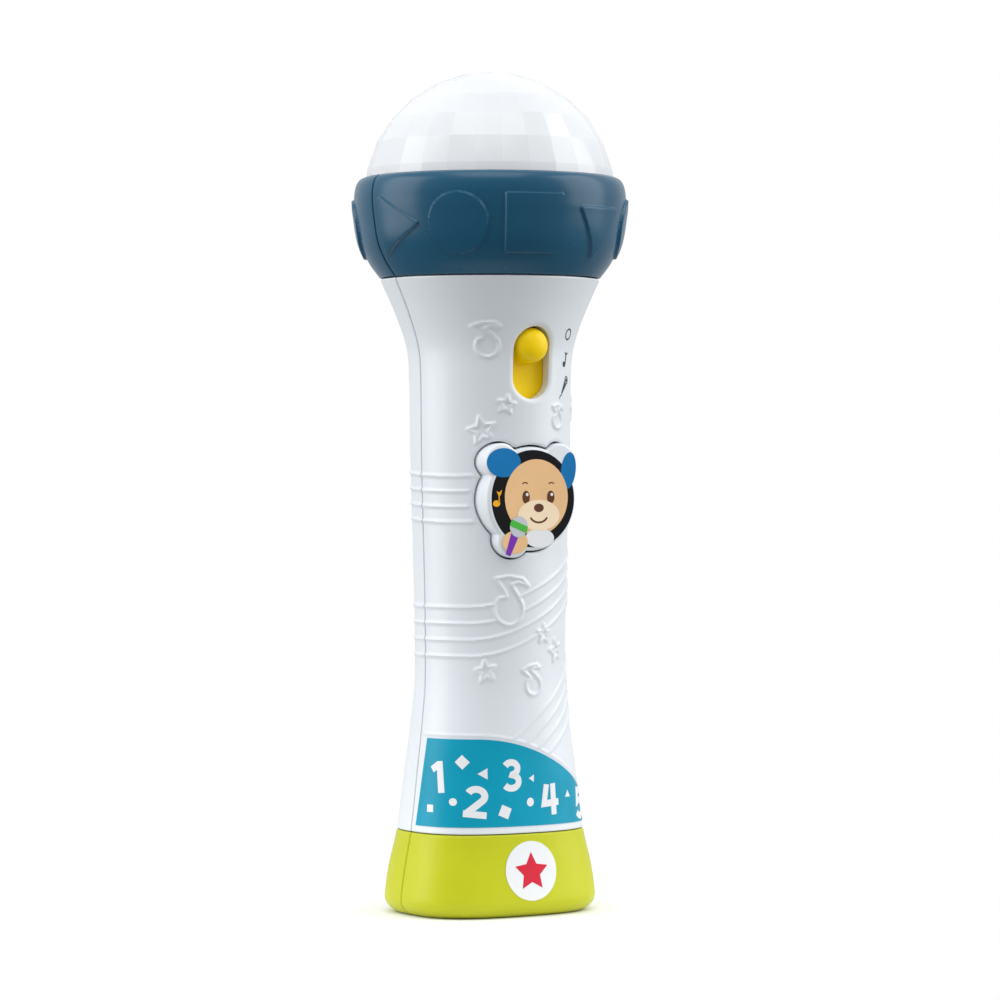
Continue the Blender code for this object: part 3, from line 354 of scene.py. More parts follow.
def closed_mesh(name, points, faces):
    """An object from points in millimetres and the faces that close it, all turned outwards."""
    mesh = bpy.data.meshes.new(name)
    mesh.from_pydata((np.asarray(points) * MM).tolist(), [], faces)
    obj = new_object(name, mesh)
    mesh.validate()
    shade(mesh, SMOOTH)
    bm = bmesh.new()
    bm.from_mesh(mesh)
    bmesh.ops.recalc_face_normals(bm, faces=bm.faces)
    bm.to_mesh(mesh)
    bm.free()
    return obj


def grid_faces(rows, columns, wrap_rows=False, wrap_columns=False):
    """Four-sided faces between rows of points that are numbered one row after another."""
    faces = []
    for i in range(rows if wrap_rows else rows - 1):
        low, high = i * columns, (i + 1) % rows * columns
        for j in range(columns if wrap_columns else columns - 1):
            k = (j + 1) % columns
            faces.append((low + j, low + k, high + k, high + j))
    return faces


def half_ring(name, rows):
    """A closed half of a ring: rows of points that run round its section and back to the first row."""
    rows = np.asarray(rows)
    count, columns = rows.shape[:2]
    faces = grid_faces(count, columns, wrap_rows=True)
    faces.append(tuple(i * columns for i in range(count)))
    faces.append(tuple(i * columns + columns - 1 for i in reversed(range(count))))
    return closed_mesh(name, rows.reshape(-1, 3), faces)


def ring(name, rows):
    """A closed solid from rows of points that each go all the way round, with its two ends filled."""
    rows = np.asarray(rows)
    count, columns = rows.shape[:2]
    faces = grid_faces(count, columns, wrap_columns=True)
    faces += [tuple(reversed(range(columns))), tuple((count - 1) * columns + j for j in range(columns))]
    return closed_mesh(name, rows.reshape(-1, 3), faces)


def cut(obj, tool, operation="DIFFERENCE"):
    """Apply one Boolean and remove its tool."""
    step = obj.modifiers.new("cut", "BOOLEAN")
    step.operation = operation
    step.object = tool
    step.solver = "MANIFOLD"
    apply_modifiers(obj)
    bpy.data.objects.remove(tool)


def apply_modifiers(obj, smooth=SMOOTH):
    bpy.context.view_layer.update()
    depsgraph = bpy.context.evaluated_depsgraph_get()
    mesh = bpy.data.meshes.new_from_object(obj.evaluated_get(depsgraph))
    obj.modifiers.clear()
    old = obj.data
    obj.data = mesh
    bpy.data.meshes.remove(old)
    shade(mesh, smooth)


def prism(name, outline, near, far):
    """An outline of (across, up) points drawn out along Y, from near to far."""
    return ring(name, [[(x, y, z) for x, z in outline] for y in (near, far)])


def rod(name, x, z, near, far, radius):
    """A round bar along Y, from near to far."""
    return prism(name, circle(x, z, radius, ROD_SIDES), near, far)


def box(name, low, high):
    """A block between two opposite corners."""
    (x0, y0, z0), (x1, y1, z1) = low, high
    return prism(name, ((x0, z0), (x1, z0), (x1, z1), (x0, z1)), y0, y1)


def turned(name, profile, steps=96, smooth=SMOOTH, height=None):
    """A closed profile of (radius, height) points turned round Z, or round -Y at a height."""
    bm = bmesh.new()
    points = [bm.verts.new((r * MM, 0, h * MM)) for r, h in profile]
    for i, point in enumerate(points):
        ends = (point, points[(i + 1) % len(points)])
        if not (ends[0].co.x == 0 and ends[1].co.x == 0):
            bm.edges.new(ends)
    bmesh.ops.spin(
        bm, geom=bm.verts[:] + bm.edges[:], axis=(0, 0, 1), cent=(0, 0, 0), steps=steps,
        angle=2 * pi, use_merge=True,
    )
    bmesh.ops.remove_doubles(bm, verts=bm.verts, dist=0.000002)
    bmesh.ops.recalc_face_normals(bm, faces=bm.faces)
    mesh = bpy.data.meshes.new(name)
    bm.to_mesh(mesh)
    bm.free()
    if height is not None:
        lift = Matrix.Translation(Vector((0, 0, height)) * MM)
        mesh.transform(lift @ Matrix.Rotation(radians(90.0), 4, "X"))
    obj = new_object(name, mesh)
    shade(mesh, smooth)
    return obj


# Degrees from a joint between two halves, where the columns of points crowd together.
AT_JOINT = (0.0, 0.7, 1.1, 1.7)


def columns_of(side, count):
    """Angles across one half of a casing, from one joint to the other. The front half is side -1."""
    middle = np.linspace(AT_JOINT[-1], 180 - AT_JOINT[-1], count)[1:-1]
    degrees = np.concatenate((AT_JOINT, middle, [180 - a for a in reversed(AT_JOINT)]))
    span = np.radians(degrees) - pi / 2
    return span if side < 0 else span + pi


def part_at_joint(rows, side):
    """Move the first and last column of a half onto its side of the joint."""
    rows[:, 0, 1] = side * GAP / 2
    rows[:, -1, 1] = side * GAP / 2
    return rows


# ---- materials


def feed(node, values):
    """Set a node's sockets: a value is set, and another node's output is linked."""
    for socket, value in values.items():
        if isinstance(value, bpy.types.NodeSocket):
            node.id_data.links.new(value, node.inputs[socket])
        else:
            node.inputs[socket].default_value = value


def add(nodes, kind, values, **settings):
    """A shader node with its sockets' values or links, and settings of its own."""
    node = nodes.new("ShaderNode" + kind)
    for name, value in settings.items():
        setattr(node, name, value)
    feed(node, values)
    return node


def tree(made):
    """A material's nodes, its shader and its place in object coordinates."""
    nodes = made.node_tree.nodes
    return nodes, nodes["Principled BSDF"], nodes["place"].outputs["Object"]


def moulded(name, colour, roughness, grain, shift, coat=0.0, metallic=0.0, scale=900.0, shine=0.5):
    """Moulded or printed material: a fine grain, and a slow drift of colour and of gloss."""
    made = bpy.data.materials.new(name)
    made.use_nodes = True
    add(made.node_tree.nodes, "TexCoord", {}, name="place")
    nodes, shader, place = tree(made)
    slow = add(nodes, "TexNoise", {"Vector": place, "Scale": 55.0, "Detail": 3.0}).outputs["Fac"]
    tint = add(nodes, "ValToRGB", {"Fac": slow}, name="tint")
    low, high = tint.color_ramp.elements
    low.color = (*[max(0.0, c * (1 - shift)) for c in colour], 1)
    high.color = (*[min(1.0, c * (1 + shift)) for c in colour], 1)
    low.position, high.position = 0.3, 0.7
    gloss = add(nodes, "MapRange", {"Value": slow, "To Min": roughness - 0.04, "To Max": roughness + 0.04})
    fine = add(nodes, "TexNoise", {"Vector": place, "Scale": scale, "Detail": 2.0})
    bump = add(nodes, "Bump", {"Height": fine.outputs["Fac"], "Strength": grain, "Distance": 0.00004})
    feed(shader, {
        "Base Color": tint.outputs["Color"], "Roughness": gloss.outputs["Result"],
        "Normal": bump.outputs["Normal"], "Specular IOR Level": shine,
        "Coat Weight": coat, "Coat Roughness": 0.15, "Metallic": metallic,
    })
    return made


def ink(name, colour, roughness=0.30, grain=0.08, shift=0.05, shine=0.2):
    return moulded(f"{name}_ink", colour, roughness, grain, shift, shine=shine)


def clear_plastic(name, colour, roughness, transmission, shift=0.02):
    made = moulded(name, colour, roughness, grain=0.05, shift=shift)
    feed(tree(made)[1], {"Transmission Weight": transmission, "IOR": 1.46})
    return made


WHITE = moulded("white_plastic", (0.745, 0.78, 0.805), 0.36, grain=0.18, shift=0.012, coat=0.12)
NAVY = moulded("navy_plastic", (0.0005, 0.072, 0.14), 0.26, grain=0.15, shift=0.06, shine=0.4)
GREEN = moulded("green_plastic", (0.52, 0.545, 0.008), 0.38, grain=0.25, shift=0.03, shine=0.3)
YELLOW = moulded("yellow_plastic", (1.0, 0.68, 0.001), 0.34, grain=0.1, shift=0.02, shine=0.2)
DOME = clear_plastic("clear_dome_plastic", (0.92, 0.935, 0.95), 0.13, 0.3)
TEAL_INK = ink("teal", (0.0, 0.305, 0.45), 0.34, shift=0.07)
WHITE_INK = ink("white", (0.80, 0.81, 0.82), 0.32, shift=0.01)
BLACK_INK = ink("black", (0.007, 0.007, 0.008), shift=0.1, shine=0.1)
GREY_INK = ink("grey", (0.045, 0.045, 0.05), 0.45, grain=0.1, shift=0.1)
PALE_GREY_INK = ink("pale_grey", (0.55, 0.57, 0.6), shift=0.03)
RED_INK = ink("red", (0.62, 0.02, 0.045), 0.32)
TAN_INK = ink("tan", (0.83, 0.52, 0.26))
CREAM_INK = ink("cream", (0.93, 0.75, 0.52), shift=0.03)
BROWN_INK = ink("brown", (0.12, 0.04, 0.015), shift=0.1)
SKY_INK = ink("sky", (0.0, 0.165, 0.43), shift=0.06)
LIME_INK = ink("lime", (0.07, 0.48, 0.05))
PURPLE_INK = ink("purple", (0.19, 0.03, 0.42), shift=0.06)
AMBER_INK = ink("amber", (0.9, 0.42, 0.01))

# ---- more shape helpers


def rollover(distance, width, depth):
    """How far a surface drops as it rolls over towards an edge, and on past it."""
    t = np.clip(1 - distance / width, 0, 1.6)
    return depth * t * t


def curve_through(points, count):
    """Evenly spaced points on a smooth curve through a list of points."""
    points = np.asarray(points, float)
    lengths = np.concatenate(([0], np.cumsum(np.linalg.norm(np.diff(points, axis=0), axis=1))))
    at = np.linspace(0, lengths[-1], count)
    i = np.clip(np.searchsorted(lengths, at) - 1, 0, len(points) - 2)
    span = (lengths[i + 1] - lengths[i])[:, None]
    t = (at[:, None] - lengths[i][:, None]) / span
    before, after = np.maximum(i - 1, 0), np.minimum(i + 2, len(points) - 1)
    slope_in = (points[i + 1] - points[before]) / (lengths[i + 1] - lengths[before])[:, None] * span
    slope_out = (points[after] - points[i]) / (lengths[after] - lengths[i])[:, None] * span
    return blend(t, points[i], points[i + 1], slope_in, slope_out)


def button_outline(grow=0.0, count=176):
    """The button's outline as (across, up) points round its middle."""
    turn = np.linspace(0, 2 * pi, count, endpoint=False)
    along = np.stack((np.cos(turn), np.sin(turn)), axis=1)
    best = np.zeros(count)
    for across, up, radius in BUTTON_LOBES:
        miss = np.abs(across * along[:, 1] - up * along[:, 0])
        root = np.sqrt(np.maximum((radius + grow) ** 2 - miss**2, 0))
        edge = across * along[:, 0] + up * along[:, 1] + root
        best = np.maximum(best, np.where(miss < radius + grow, edge, 0))
    return (along * best[:, None]).tolist()


def stadium(half_width, half_length, across=0.0, up=0.0, count=20):
    straight = half_length - half_width
    return arc((across, up + straight), half_width, 0, 180, count) + arc(
        (across, up - straight), half_width, 180, 360, count
    )


def stroke(path, width, closed=False):
    """A line of one width along a path, as four-sided outlines with mitred corners."""
    path = np.asarray(path, float)
    before = np.roll(path, 1, axis=0)
    after = np.roll(path, -1, axis=0)
    if not closed:
        before[0] = 2 * path[0] - path[1]
        after[-1] = 2 * path[-1] - path[-2]
    going_in = (path - before) / np.linalg.norm(path - before, axis=1)[:, None]
    going_out = (after - path) / np.linalg.norm(after - path, axis=1)[:, None]
    side = np.stack((-(going_in + going_out)[:, 1], (going_in + going_out)[:, 0]), axis=1)
    side /= np.linalg.norm(side, axis=1)[:, None]
    square_to = going_in[:, 0] * side[:, 1] - going_in[:, 1] * side[:, 0]
    offset = side * (width / 2 / np.maximum(square_to, 0.4))[:, None]
    left, right = (path + offset).tolist(), (path - offset).tolist()
    last = len(path) if closed else len(path) - 1
    ends = [(i, (i + 1) % len(path)) for i in range(last)]
    return [[left[i], right[i], right[k], left[k]] for i, k in ends]


def film(name, outlines, place, low, high, step=0.8):
    """A thin closed sheet that follows a surface, between two distances off it, in strips a step wide."""
    bm = bmesh.new()
    for outline in outlines:
        bm.faces.new([bm.verts.new((x, y, 0)) for x, y in outline])
    bmesh.ops.remove_doubles(bm, verts=bm.verts, dist=0.0001)
    bmesh.ops.triangulate(bm, faces=bm.faces)
    for axis, pitch in ((0, step), (1, 2.5 * step)):
        values = [v.co[axis] for v in bm.verts]
        for k in range(ceil(min(values) / pitch), floor(max(values) / pitch) + 1):
            normal = Vector((1 - axis, axis, 0))
            geom = bm.verts[:] + bm.edges[:] + bm.faces[:]
            bmesh.ops.bisect_plane(bm, geom=geom, dist=0.0001, plane_co=normal * k * pitch, plane_no=normal)
    bmesh.ops.recalc_face_normals(bm, faces=bm.faces)
    bm.verts.index_update()
    flat = np.array([v.co[:2] for v in bm.verts])
    count = len(flat)
    front = [[v.index for v in face.verts] for face in bm.faces]
    bm.free()
    directed = {(a, b) for face in front for a, b in zip(face, face[1:] + face[:1])}
    sides = [(a, b, b + count, a + count) for a, b in directed if (b, a) not in directed]
    faces = front + [[i + count for i in reversed(face)] for face in front] + sorted(sides)
    points = np.concatenate((place(flat[:, 0], flat[:, 1], high), place(flat[:, 0], flat[:, 1], low)))
    return closed_mesh(name, points, faces)


def shell_core():
    """What lies inside the middle of the handle's wall. Bosses are trimmed to it."""
    turn = np.linspace(-pi, pi, 96, endpoint=False)[None, :]
    up = np.linspace(SHELL_LOW + 1, SHELL_HIGH - 1, 60)[:, None]
    return ring("shell_core", around(turn, reach(turn, up, 1.1), up))


def add_clipped(obj, tool):
    """Join a boss to a shell, without what would stand out of the shell."""
    cut(tool, shell_core(), "INTERSECT")
    cut(obj, tool, "UNION")


def screw_holes(half, side, x, z, shank, head, far):
    """A screw's hole in a front half, or its hole and the recess for its head in a rear half."""
    cut(half, rod("hole", x, z, -side, side * (8.0 if side > 0 else 10.0), shank))
    if side > 0:
        cut(half, rod("recess", x, z, 5, far, head))


# ---- handle

SLITS = (-8.0, -4.0, 0.0, 4.0, 8.0)
GRIP_HEIGHTS = (74.4, 76.9, 79.4)
# Holes: radius round a shell screw's shank, round its head, and round the door screw's head.
SHANK_HOLE, HEAD_HOLE, DOOR_HEAD_HOLE = 1.7, 2.7, 3.3
MIC_HOLE, POST_HOLE = 1.0, 1.5


def joint_roll(points):
    """How far a surface drops at the joint between two halves."""
    return rollover(np.abs(points[..., 1]) - GAP / 2, 0.45, 0.3)


def on_outline(angle, height):
    """Points on the plain outline, and how far across and up they are."""
    points = around(angle, reach(angle, height), height)
    return points, points[..., 0], points[..., 2]


def front_surface(angle, height):
    """How far the front half's outer surface stands off the plain outline."""
    points, across, up = on_outline(angle, height)
    slot = to_stadium(across, up - SLOT_HEIGHT, *SLOT_HALF)
    button = to_button(across, up - BUTTON_HEIGHT) - BUTTON_CLEARANCE
    raised = decoration(angle, height) * fade(slot, 0.8, 1.8) * fade(button, 0.7, 1.6)
    return raised - rollover(slot, 1.3, 0.55) - rollover(button, 0.7, 0.3) - joint_roll(points)


def slit_half(across):
    """Half the width and half the length of a loudspeaker slit. The outer ones are shorter."""
    return 1.0, 10.5 - 0.3 * abs(across)


def rear_surface(angle, height):
    """How far the rear half's outer surface stands off the plain outline."""
    points, across, up = on_outline(angle, height)
    half = DOOR_HALF_WIDTH + GAP
    door = np.max([np.abs(across) - half, DOOR_LOW - GAP - up, up - DOOR_HIGH - GAP], axis=0)
    holes = np.min([np.hypot(across - x, up - z) - HEAD_HOLE for x, z in SHELL_SCREWS], axis=0)
    mic = np.hypot(across - MIC[0], up - MIC[1]) - MIC_HOLE
    drop = rollover(door, 0.6, 0.25) + rollover(holes, 0.6, 0.3) + rollover(mic, 0.5, 0.25)
    slits = [to_stadium(across - x, up - SPEAKER_HEIGHT, *slit_half(x)) for x in SLITS]
    drop = drop + rollover(np.min(slits, axis=0), 0.5, 0.25)
    return decoration(angle, height) * fade(door, 0.6, 1.4) - drop - joint_roll(points)


def door_surface(angle, height):
    """How far the battery door's outer surface stands off the plain outline."""
    _, across, up = on_outline(angle, height)
    edge = np.min([DOOR_HALF_WIDTH - np.abs(across), up - DOOR_LOW, DOOR_HIGH - up], axis=0)
    hole = np.hypot(across, up - DOOR_SCREW_HEIGHT) - DOOR_HEAD_HOLE
    grip = [np.hypot(across - np.clip(across, -4.6, 4.6), up - z) for z in GRIP_HEIGHTS]
    groove = ridge(np.min(grip, axis=0), 1.7, 0.6)
    return -rollover(edge, 0.6, 0.25) - rollover(hole, 0.6, 0.3) - groove


def level(angle, height, inset, outline_height=None):
    """One row of points, set in from the outline at their own height or at another one."""
    at = height if outline_height is None else outline_height
    return around(angle, reach(angle, np.array([[at]]), inset), np.array([[height]]))


def wall_rows(angle, outer, surface, inner):
    """Rows up the outer side of a wall, and then the rows that level() makes down its inner side."""
    up = outer[:, None]
    ends = rollover(np.minimum(up - SHELL_LOW, SHELL_HIGH - up), 0.4, 0.25)
    rows = [around(angle, reach(angle, up) + surface(angle, up) - ends, up)]
    return np.concatenate(rows + [level(angle, *row) for row in inner])


def shell_half(name, side, surface):
    angle = columns_of(side, 190)[None, :]
    inner = [(z, SPIGOT_INSET, SHELL_HIGH) for z in (SHELL_HIGH, SPIGOT_HIGH)]
    inner += [(z, SPIGOT_INNER, SHELL_HIGH) for z in (SPIGOT_HIGH, 167.0)]
    inner += [(z, WALL) for z in np.linspace(161.0, 28.0, 26)]
    inner += [(z, SPIGOT_INNER, SHELL_LOW) for z in (24.5, SPIGOT_LOW)]
    inner += [(z, SPIGOT_INSET, SHELL_LOW) for z in (SPIGOT_LOW, SHELL_LOW)]
    rows = wall_rows(angle, np.linspace(SHELL_LOW, SHELL_HIGH, 425), surface, inner)
    return half_ring(name, part_at_joint(rows, side))


def front_shell():
    shell = shell_half("front_shell_skin", -1, front_surface)
    for x, z in SHELL_SCREWS:
        add_clipped(shell, rod("boss", x, z, -OUTSIDE, -GAP / 2, 2.8))
    rim = stadium(SLOT_HALF[0] + 1.1, SLOT_HALF[1] + 1.1, 0, SLOT_HEIGHT)
    add_clipped(shell, prism("chimney", rim, PLATE_FRONT - GAP, -OUTSIDE))
    cut(shell, prism("slot", stadium(*SLOT_HALF, 0, SLOT_HEIGHT), -OUTSIDE, -14))
    opening = [(x, z + BUTTON_HEIGHT) for x, z in button_outline(BUTTON_CLEARANCE)]
    cut(shell, prism("button_opening", opening, -OUTSIDE, -7.5))
    for x, z in SHELL_SCREWS:
        cut(shell, rod("pilot", x, z, -9.5, 1, SHANK_HOLE))
    keep(shell, BODY, ("front_shell",), WHITE)


def rear_shell():
    shell = shell_half("rear_shell_skin", 1, rear_surface)
    for i, (x, z) in enumerate(SHELL_SCREWS):
        add_clipped(shell, rod("boss", x, z, GAP / 2, OUTSIDE, 3.3 if i else 4.0))
    for side in (-1, 1):
        z = SPEAKER_HEIGHT + side * SPEAKER_POST_REACH
        add_clipped(shell, rod("post", 0, z, 10.9, OUTSIDE, 2.2))
        cut(shell, rod("post_hole", 0, z, 10.0, 17.8, POST_HOLE))
    half = DOOR_HALF_WIDTH + GAP
    cut(shell, box("door_opening", (-half, 6, DOOR_LOW - GAP), (half, OUTSIDE, DOOR_HIGH + GAP)))
    for x, z in SHELL_SCREWS:
        screw_holes(shell, 1, x, z, SHANK_HOLE, HEAD_HOLE, OUTSIDE)
    cut(shell, rod("mic_hole", *MIC, 15, OUTSIDE, MIC_HOLE))
    for x in SLITS:
        slit = stadium(*slit_half(x), x, SPEAKER_HEIGHT, count=12)
        cut(shell, prism("slit", slit, 13, OUTSIDE))
    keep(shell, BODY, ("rear_shell",), WHITE)


def battery_door():
    angle = pi + np.radians(np.linspace(-56, 56, 150))[None, :]
    low, high = DOOR_LOW - 1.5, DOOR_HIGH + 1.5
    inner = [(z, WALL) for z in np.linspace(high, low, 14)]
    rows = wall_rows(angle, np.linspace(low, high, 210), door_surface, inner)
    door = half_ring("battery_door_skin", rows)
    low, high = (-DOOR_HALF_WIDTH, 6, DOOR_LOW), (DOOR_HALF_WIDTH, OUTSIDE, DOOR_HIGH)
    cut(door, box("door_blank", low, high), "INTERSECT")
    at = DOOR_SCREW_HEIGHT
    add_clipped(door, rod("boss", 0, at, 13.7, OUTSIDE, 4.4))
    for side in (-1, 1):
        near, far = sorted((side * 5.5, side * 10.5))
        cut(door, box("tab", (near, 12.8, 84.5), (far, 14.0, 91.0)), "UNION")
        cut(door, box("tab_foot", (near, 12.85, 84.6), (far, 17.3, 87.6)), "UNION")
    cut(door, rod("hole", 0, at, 12, 18, SHANK_HOLE))
    cut(door, rod("recess", 0, at, 15.5, OUTSIDE, DOOR_HEAD_HOLE))
    keep(door, "battery_door", ("battery_door",), WHITE)


# ---- base


def all_round():
    """Angles all the way round, closer together at the joint."""
    half = np.linspace(AT_JOINT[-1], 180 - AT_JOINT[-1], 190)[1:-1]
    one = np.concatenate((AT_JOINT, half, [180 - a for a in reversed(AT_JOINT[1:])]))
    return np.radians(np.concatenate((one - 90, one + 90)))[None, :]


def base_half(name, side, nodes):
    turn = all_round()
    inner = ((BASE_FLOOR, 6.0), (BASE_FLOOR + 1.0, 3.2), (9.0, WALL), (BASE_TOP, WALL))
    rows = [level(turn, height, inset) for height, inset in inner]
    bend = np.radians(np.linspace(0, 90, 16))[1:]
    heights = np.concatenate((np.linspace(BASE_TOP, BASE_ROUND, 46), BASE_ROUND * (1 - np.sin(bend))))
    insets = np.concatenate((np.zeros(46), BASE_ROUND * (1 - np.cos(bend))))
    for height, inset in zip(heights, insets):
        up = np.array([[height]])
        radius = reach(turn, up, inset)
        drop = joint_roll(around(turn, radius, up)) + rollover(BASE_TOP - up, 0.5, 0.3)
        rows.append(around(turn, radius - drop, up))
    half = ring(name, np.concatenate(rows))
    near, far = sorted((side * GAP / 2, -side * 60))
    cut(half, box("other_half", (-60, near, -10), (60, far, 40)))
    for x, z in BASE_SCREWS:
        cut(half, rod("boss", x, z, side * GAP / 2, side * 17.0, 3.9 if side > 0 else 3.2), "UNION")
        screw_holes(half, side, x, z, SHANK_HOLE, HEAD_HOLE, OUTSIDE)
    keep(half, BODY, nodes, GREEN)


# ---- collar and dome

# Raised shapes: degrees from the front, corners (none is a disc), and the first corner's direction.
PAD_SHAPES = ((-77.5, 3, 0.0), (-45.0, 0, 0.0), (-12.5, 4, 45.0), (22.0, 3, -90.0), (56.5, 0, 0.0))
PAD_LIFT, PAD_HEIGHT, PAD_RADIUS, PAD_EDGE = 0.7, 180.5, 8.2, 0.46
PAD_ARC_RADIUS, PAD_SQUEEZE, PAD_CORNER = 35.4, 1.02, 0.9
# How far a corner is from the middle, by the number of corners, before PAD_CORNER rounds it.
PAD_SIZES = {3: 9.9 - PAD_CORNER * 2, 4: 11.4 - PAD_CORNER * 1.41}
COLLAR_SHANK_HOLE, COLLAR_HEAD_HOLE = 1.5, 2.3


def pads(angle, height, turn):
    """How far the collar's raised shapes lift its surface."""
    lifted = np.zeros(np.broadcast(angle, height).shape)
    for place, corners, first in PAD_SHAPES:
        across = PAD_ARC_RADIUS * (angle - radians(place + turn))
        up = (height - PAD_HEIGHT) * PAD_SQUEEZE * np.ones(across.shape)
        if corners:
            outline = polygon(PAD_SIZES[corners], corners, first)
            distance = to_polygon(across * np.ones(up.shape), up, outline) - PAD_CORNER
        else:
            distance = np.hypot(across, up) - PAD_RADIUS
        lifted = np.maximum(lifted, plateau(distance, PAD_EDGE, PAD_LIFT))
    return lifted


def collar_half(name, side, turn, nodes):
    angle = columns_of(side, 470)[None, :]
    profile = curve_through(COLLAR_OUTER, 132)
    along = np.gradient(profile, axis=0)
    normal = np.stack((-along[:, 1], along[:, 0]), axis=1) / np.linalg.norm(along, axis=1)[:, None]
    radius, height = profile[:, :1], profile[:, 1:]
    surface = around(angle, radius, height)
    raised = pads(angle, height, turn)
    # The rear shapes stop short of the screws' recesses.
    for x, z in COLLAR_SCREWS if side > 0 else ():
        from_hole = np.hypot(surface[..., 0] - x, surface[..., 2] - z)
        raised = raised * np.clip((from_hole - 2.7) / 1.1, 0, 1)
    lift = raised - joint_roll(surface) - rollover(height - 167.4, 0.4, 0.2)
    rows = [around(angle, radius + normal[:, :1] * lift, height + normal[:, 1:] * lift)]
    rows += [around(angle, np.array([[inner]]), np.array([[up]])) for inner, up in COLLAR_INNER]
    half = half_ring(name, part_at_joint(np.concatenate(rows), side))
    core = turned("collar_core", ((0, 186.0), (34.3, 186.0), (33.2, 176.5), (31.0, 172.4), (0, 172.4)))
    reached, boss_radius = (40, 3.2) if side > 0 else (-20, 2.6)
    for x, z in COLLAR_SCREWS:
        boss = rod("boss", x, z, side * GAP / 2, reached, boss_radius)
        cut(boss, new_object("core", core.data.copy()), "INTERSECT")
        cut(half, boss, "UNION")
        screw_holes(half, side, x, z, COLLAR_SHANK_HOLE, COLLAR_HEAD_HOLE, 40)
    bpy.data.objects.remove(core)
    keep(half, BODY, nodes, NAVY)


def dome():
    """A clear dome of flat facets, about as wide as they are high, with fine rounded edges between them."""
    bands = DOME_FACETS // 4
    pitch = [pi / 2 / bands * i for i in range(bands)]
    within = DOME_RADIUS - DOME_WALL
    outer = [(DOME_RADIUS * sin(a), DOME_CENTRE + DOME_RADIUS * cos(a)) for a in pitch]
    inner = [(within * sin(a), DOME_CENTRE + within * cos(a)) for a in reversed(pitch)]
    rim = [(DOME_RADIUS, FLANGE_HIGH), (FLANGE_RADIUS, FLANGE_HIGH), (FLANGE_RADIUS, FLANGE_LOW)]
    rim.append((within, FLANGE_LOW))
    lens = turned("dome_lens_facets", outer + rim + inner, steps=DOME_FACETS, smooth=None)
    bevel = lens.modifiers.new("edges", "BEVEL")
    bevel.width = 0.14 * MM
    bevel.segments = 2
    bevel.limit_method = "ANGLE"
    bevel.angle_limit = radians(5)
    apply_modifiers(lens, smooth=4.5)
    keep(lens, BODY, ("dome_lens",), DOME)


# ---- knob and button


def knob():
    wide, long = PLATE_HALF
    corners = [(x, z + KNOB_HEIGHT) for x, z in ((-wide, -long), (wide, -long), (wide, long), (-wide, long))]
    plate = prism("mode_knob_cap", corners, PLATE_BACK, PLATE_FRONT)
    drops = ((0.0, 0.0), (1.3, 0.12), (2.6, 0.55), (3.7, 1.35), (4.4, 2.4), (4.62, 3.2))
    profile = curve_through([(radius, -KNOB_TIP - drop) for radius, drop in drops], 22).tolist()
    profile[0][0] = 0.0
    foot = ((KNOB_RADIUS, -KNOB_TIP - 3.8), (KNOB_RADIUS, 18.1), (4.85, 17.6), (5.2, 17.25))
    profile += curve_through(foot, 10).tolist() + [(5.2, 16.4), (0.0, 16.4)]
    cap = turned("cap", profile, steps=72, height=KNOB_HEIGHT)
    cut(plate, cap, "UNION")
    for low in (1.3, -2.7):
        up = KNOB_HEIGHT + low
        cut(plate, box("prong", (-2.5, PLATE_BACK - 0.5, up), (2.5, -10.4, up + 1.4)), "UNION")
    keep(plate, "mode_switch", ("mode_knob",), YELLOW)


def button():
    edge = 0.9
    rounding = np.radians(np.linspace(0, 90, 8))[1:]
    steps = [(0.0, y) for y in np.linspace(BUTTON_BACK, BUTTON_FACE + edge, 8)]
    steps += [(-edge * (1 - cos(a)), BUTTON_FACE + edge * (1 - sin(a))) for a in rounding]
    rows = [[(x, y, z + BUTTON_HEIGHT) for x, z in button_outline(grow)] for grow, y in steps]
    cap = ring("song_button_cap", rows)
    hollow = [(x, z + BUTTON_HEIGHT) for x, z in button_outline(-1.4)]
    cut(cap, prism("hollow", hollow, BUTTON_FACE + 1.8, BUTTON_BACK + 1))
    for side in (-1, 1):
        near, far = sorted((side * 13.0, side * 15.0))
        wing = box("wing", (near, -10.6, BUTTON_HEIGHT - 3.5), (far, BUTTON_BACK - 0.1, BUTTON_HEIGHT + 3.5))
        cut(cap, wing, "UNION")
    cut(cap, rod("stem", 0, BUTTON_HEIGHT, BUTTON_FACE + 1, -8.9, 3.0), "UNION")
    keep(cap, "song_button", ("song_button",), WHITE)


NOTE_HEAD = circle(-10.9, -1.2, (1.1, 0.85), 24)
NOTE_FLAG = (
    (-10.25, -0.9), (-9.85, -0.9), (-10.0, 0.6), (-9.4, 1.5),
    (-9.3, 2.4), (-10.0, 1.7), (-10.9, 2.0), (-10.3, 0.8),
)
TOY_MIC_GRIP = ((-0.75, -7.0), (0.75, -7.0), (1.35, 0.0), (-1.35, 0.0))
TOY_MIC_BAND = arc((0, 0), 2.75, -16, 22, 8) + arc((0, 0), 2.75, 158, 196, 8)


def layer(level):
    """How far a printed layer's back and front stand off its surface."""
    low = 0.02 + 0.03 * level
    return low, low + 0.025


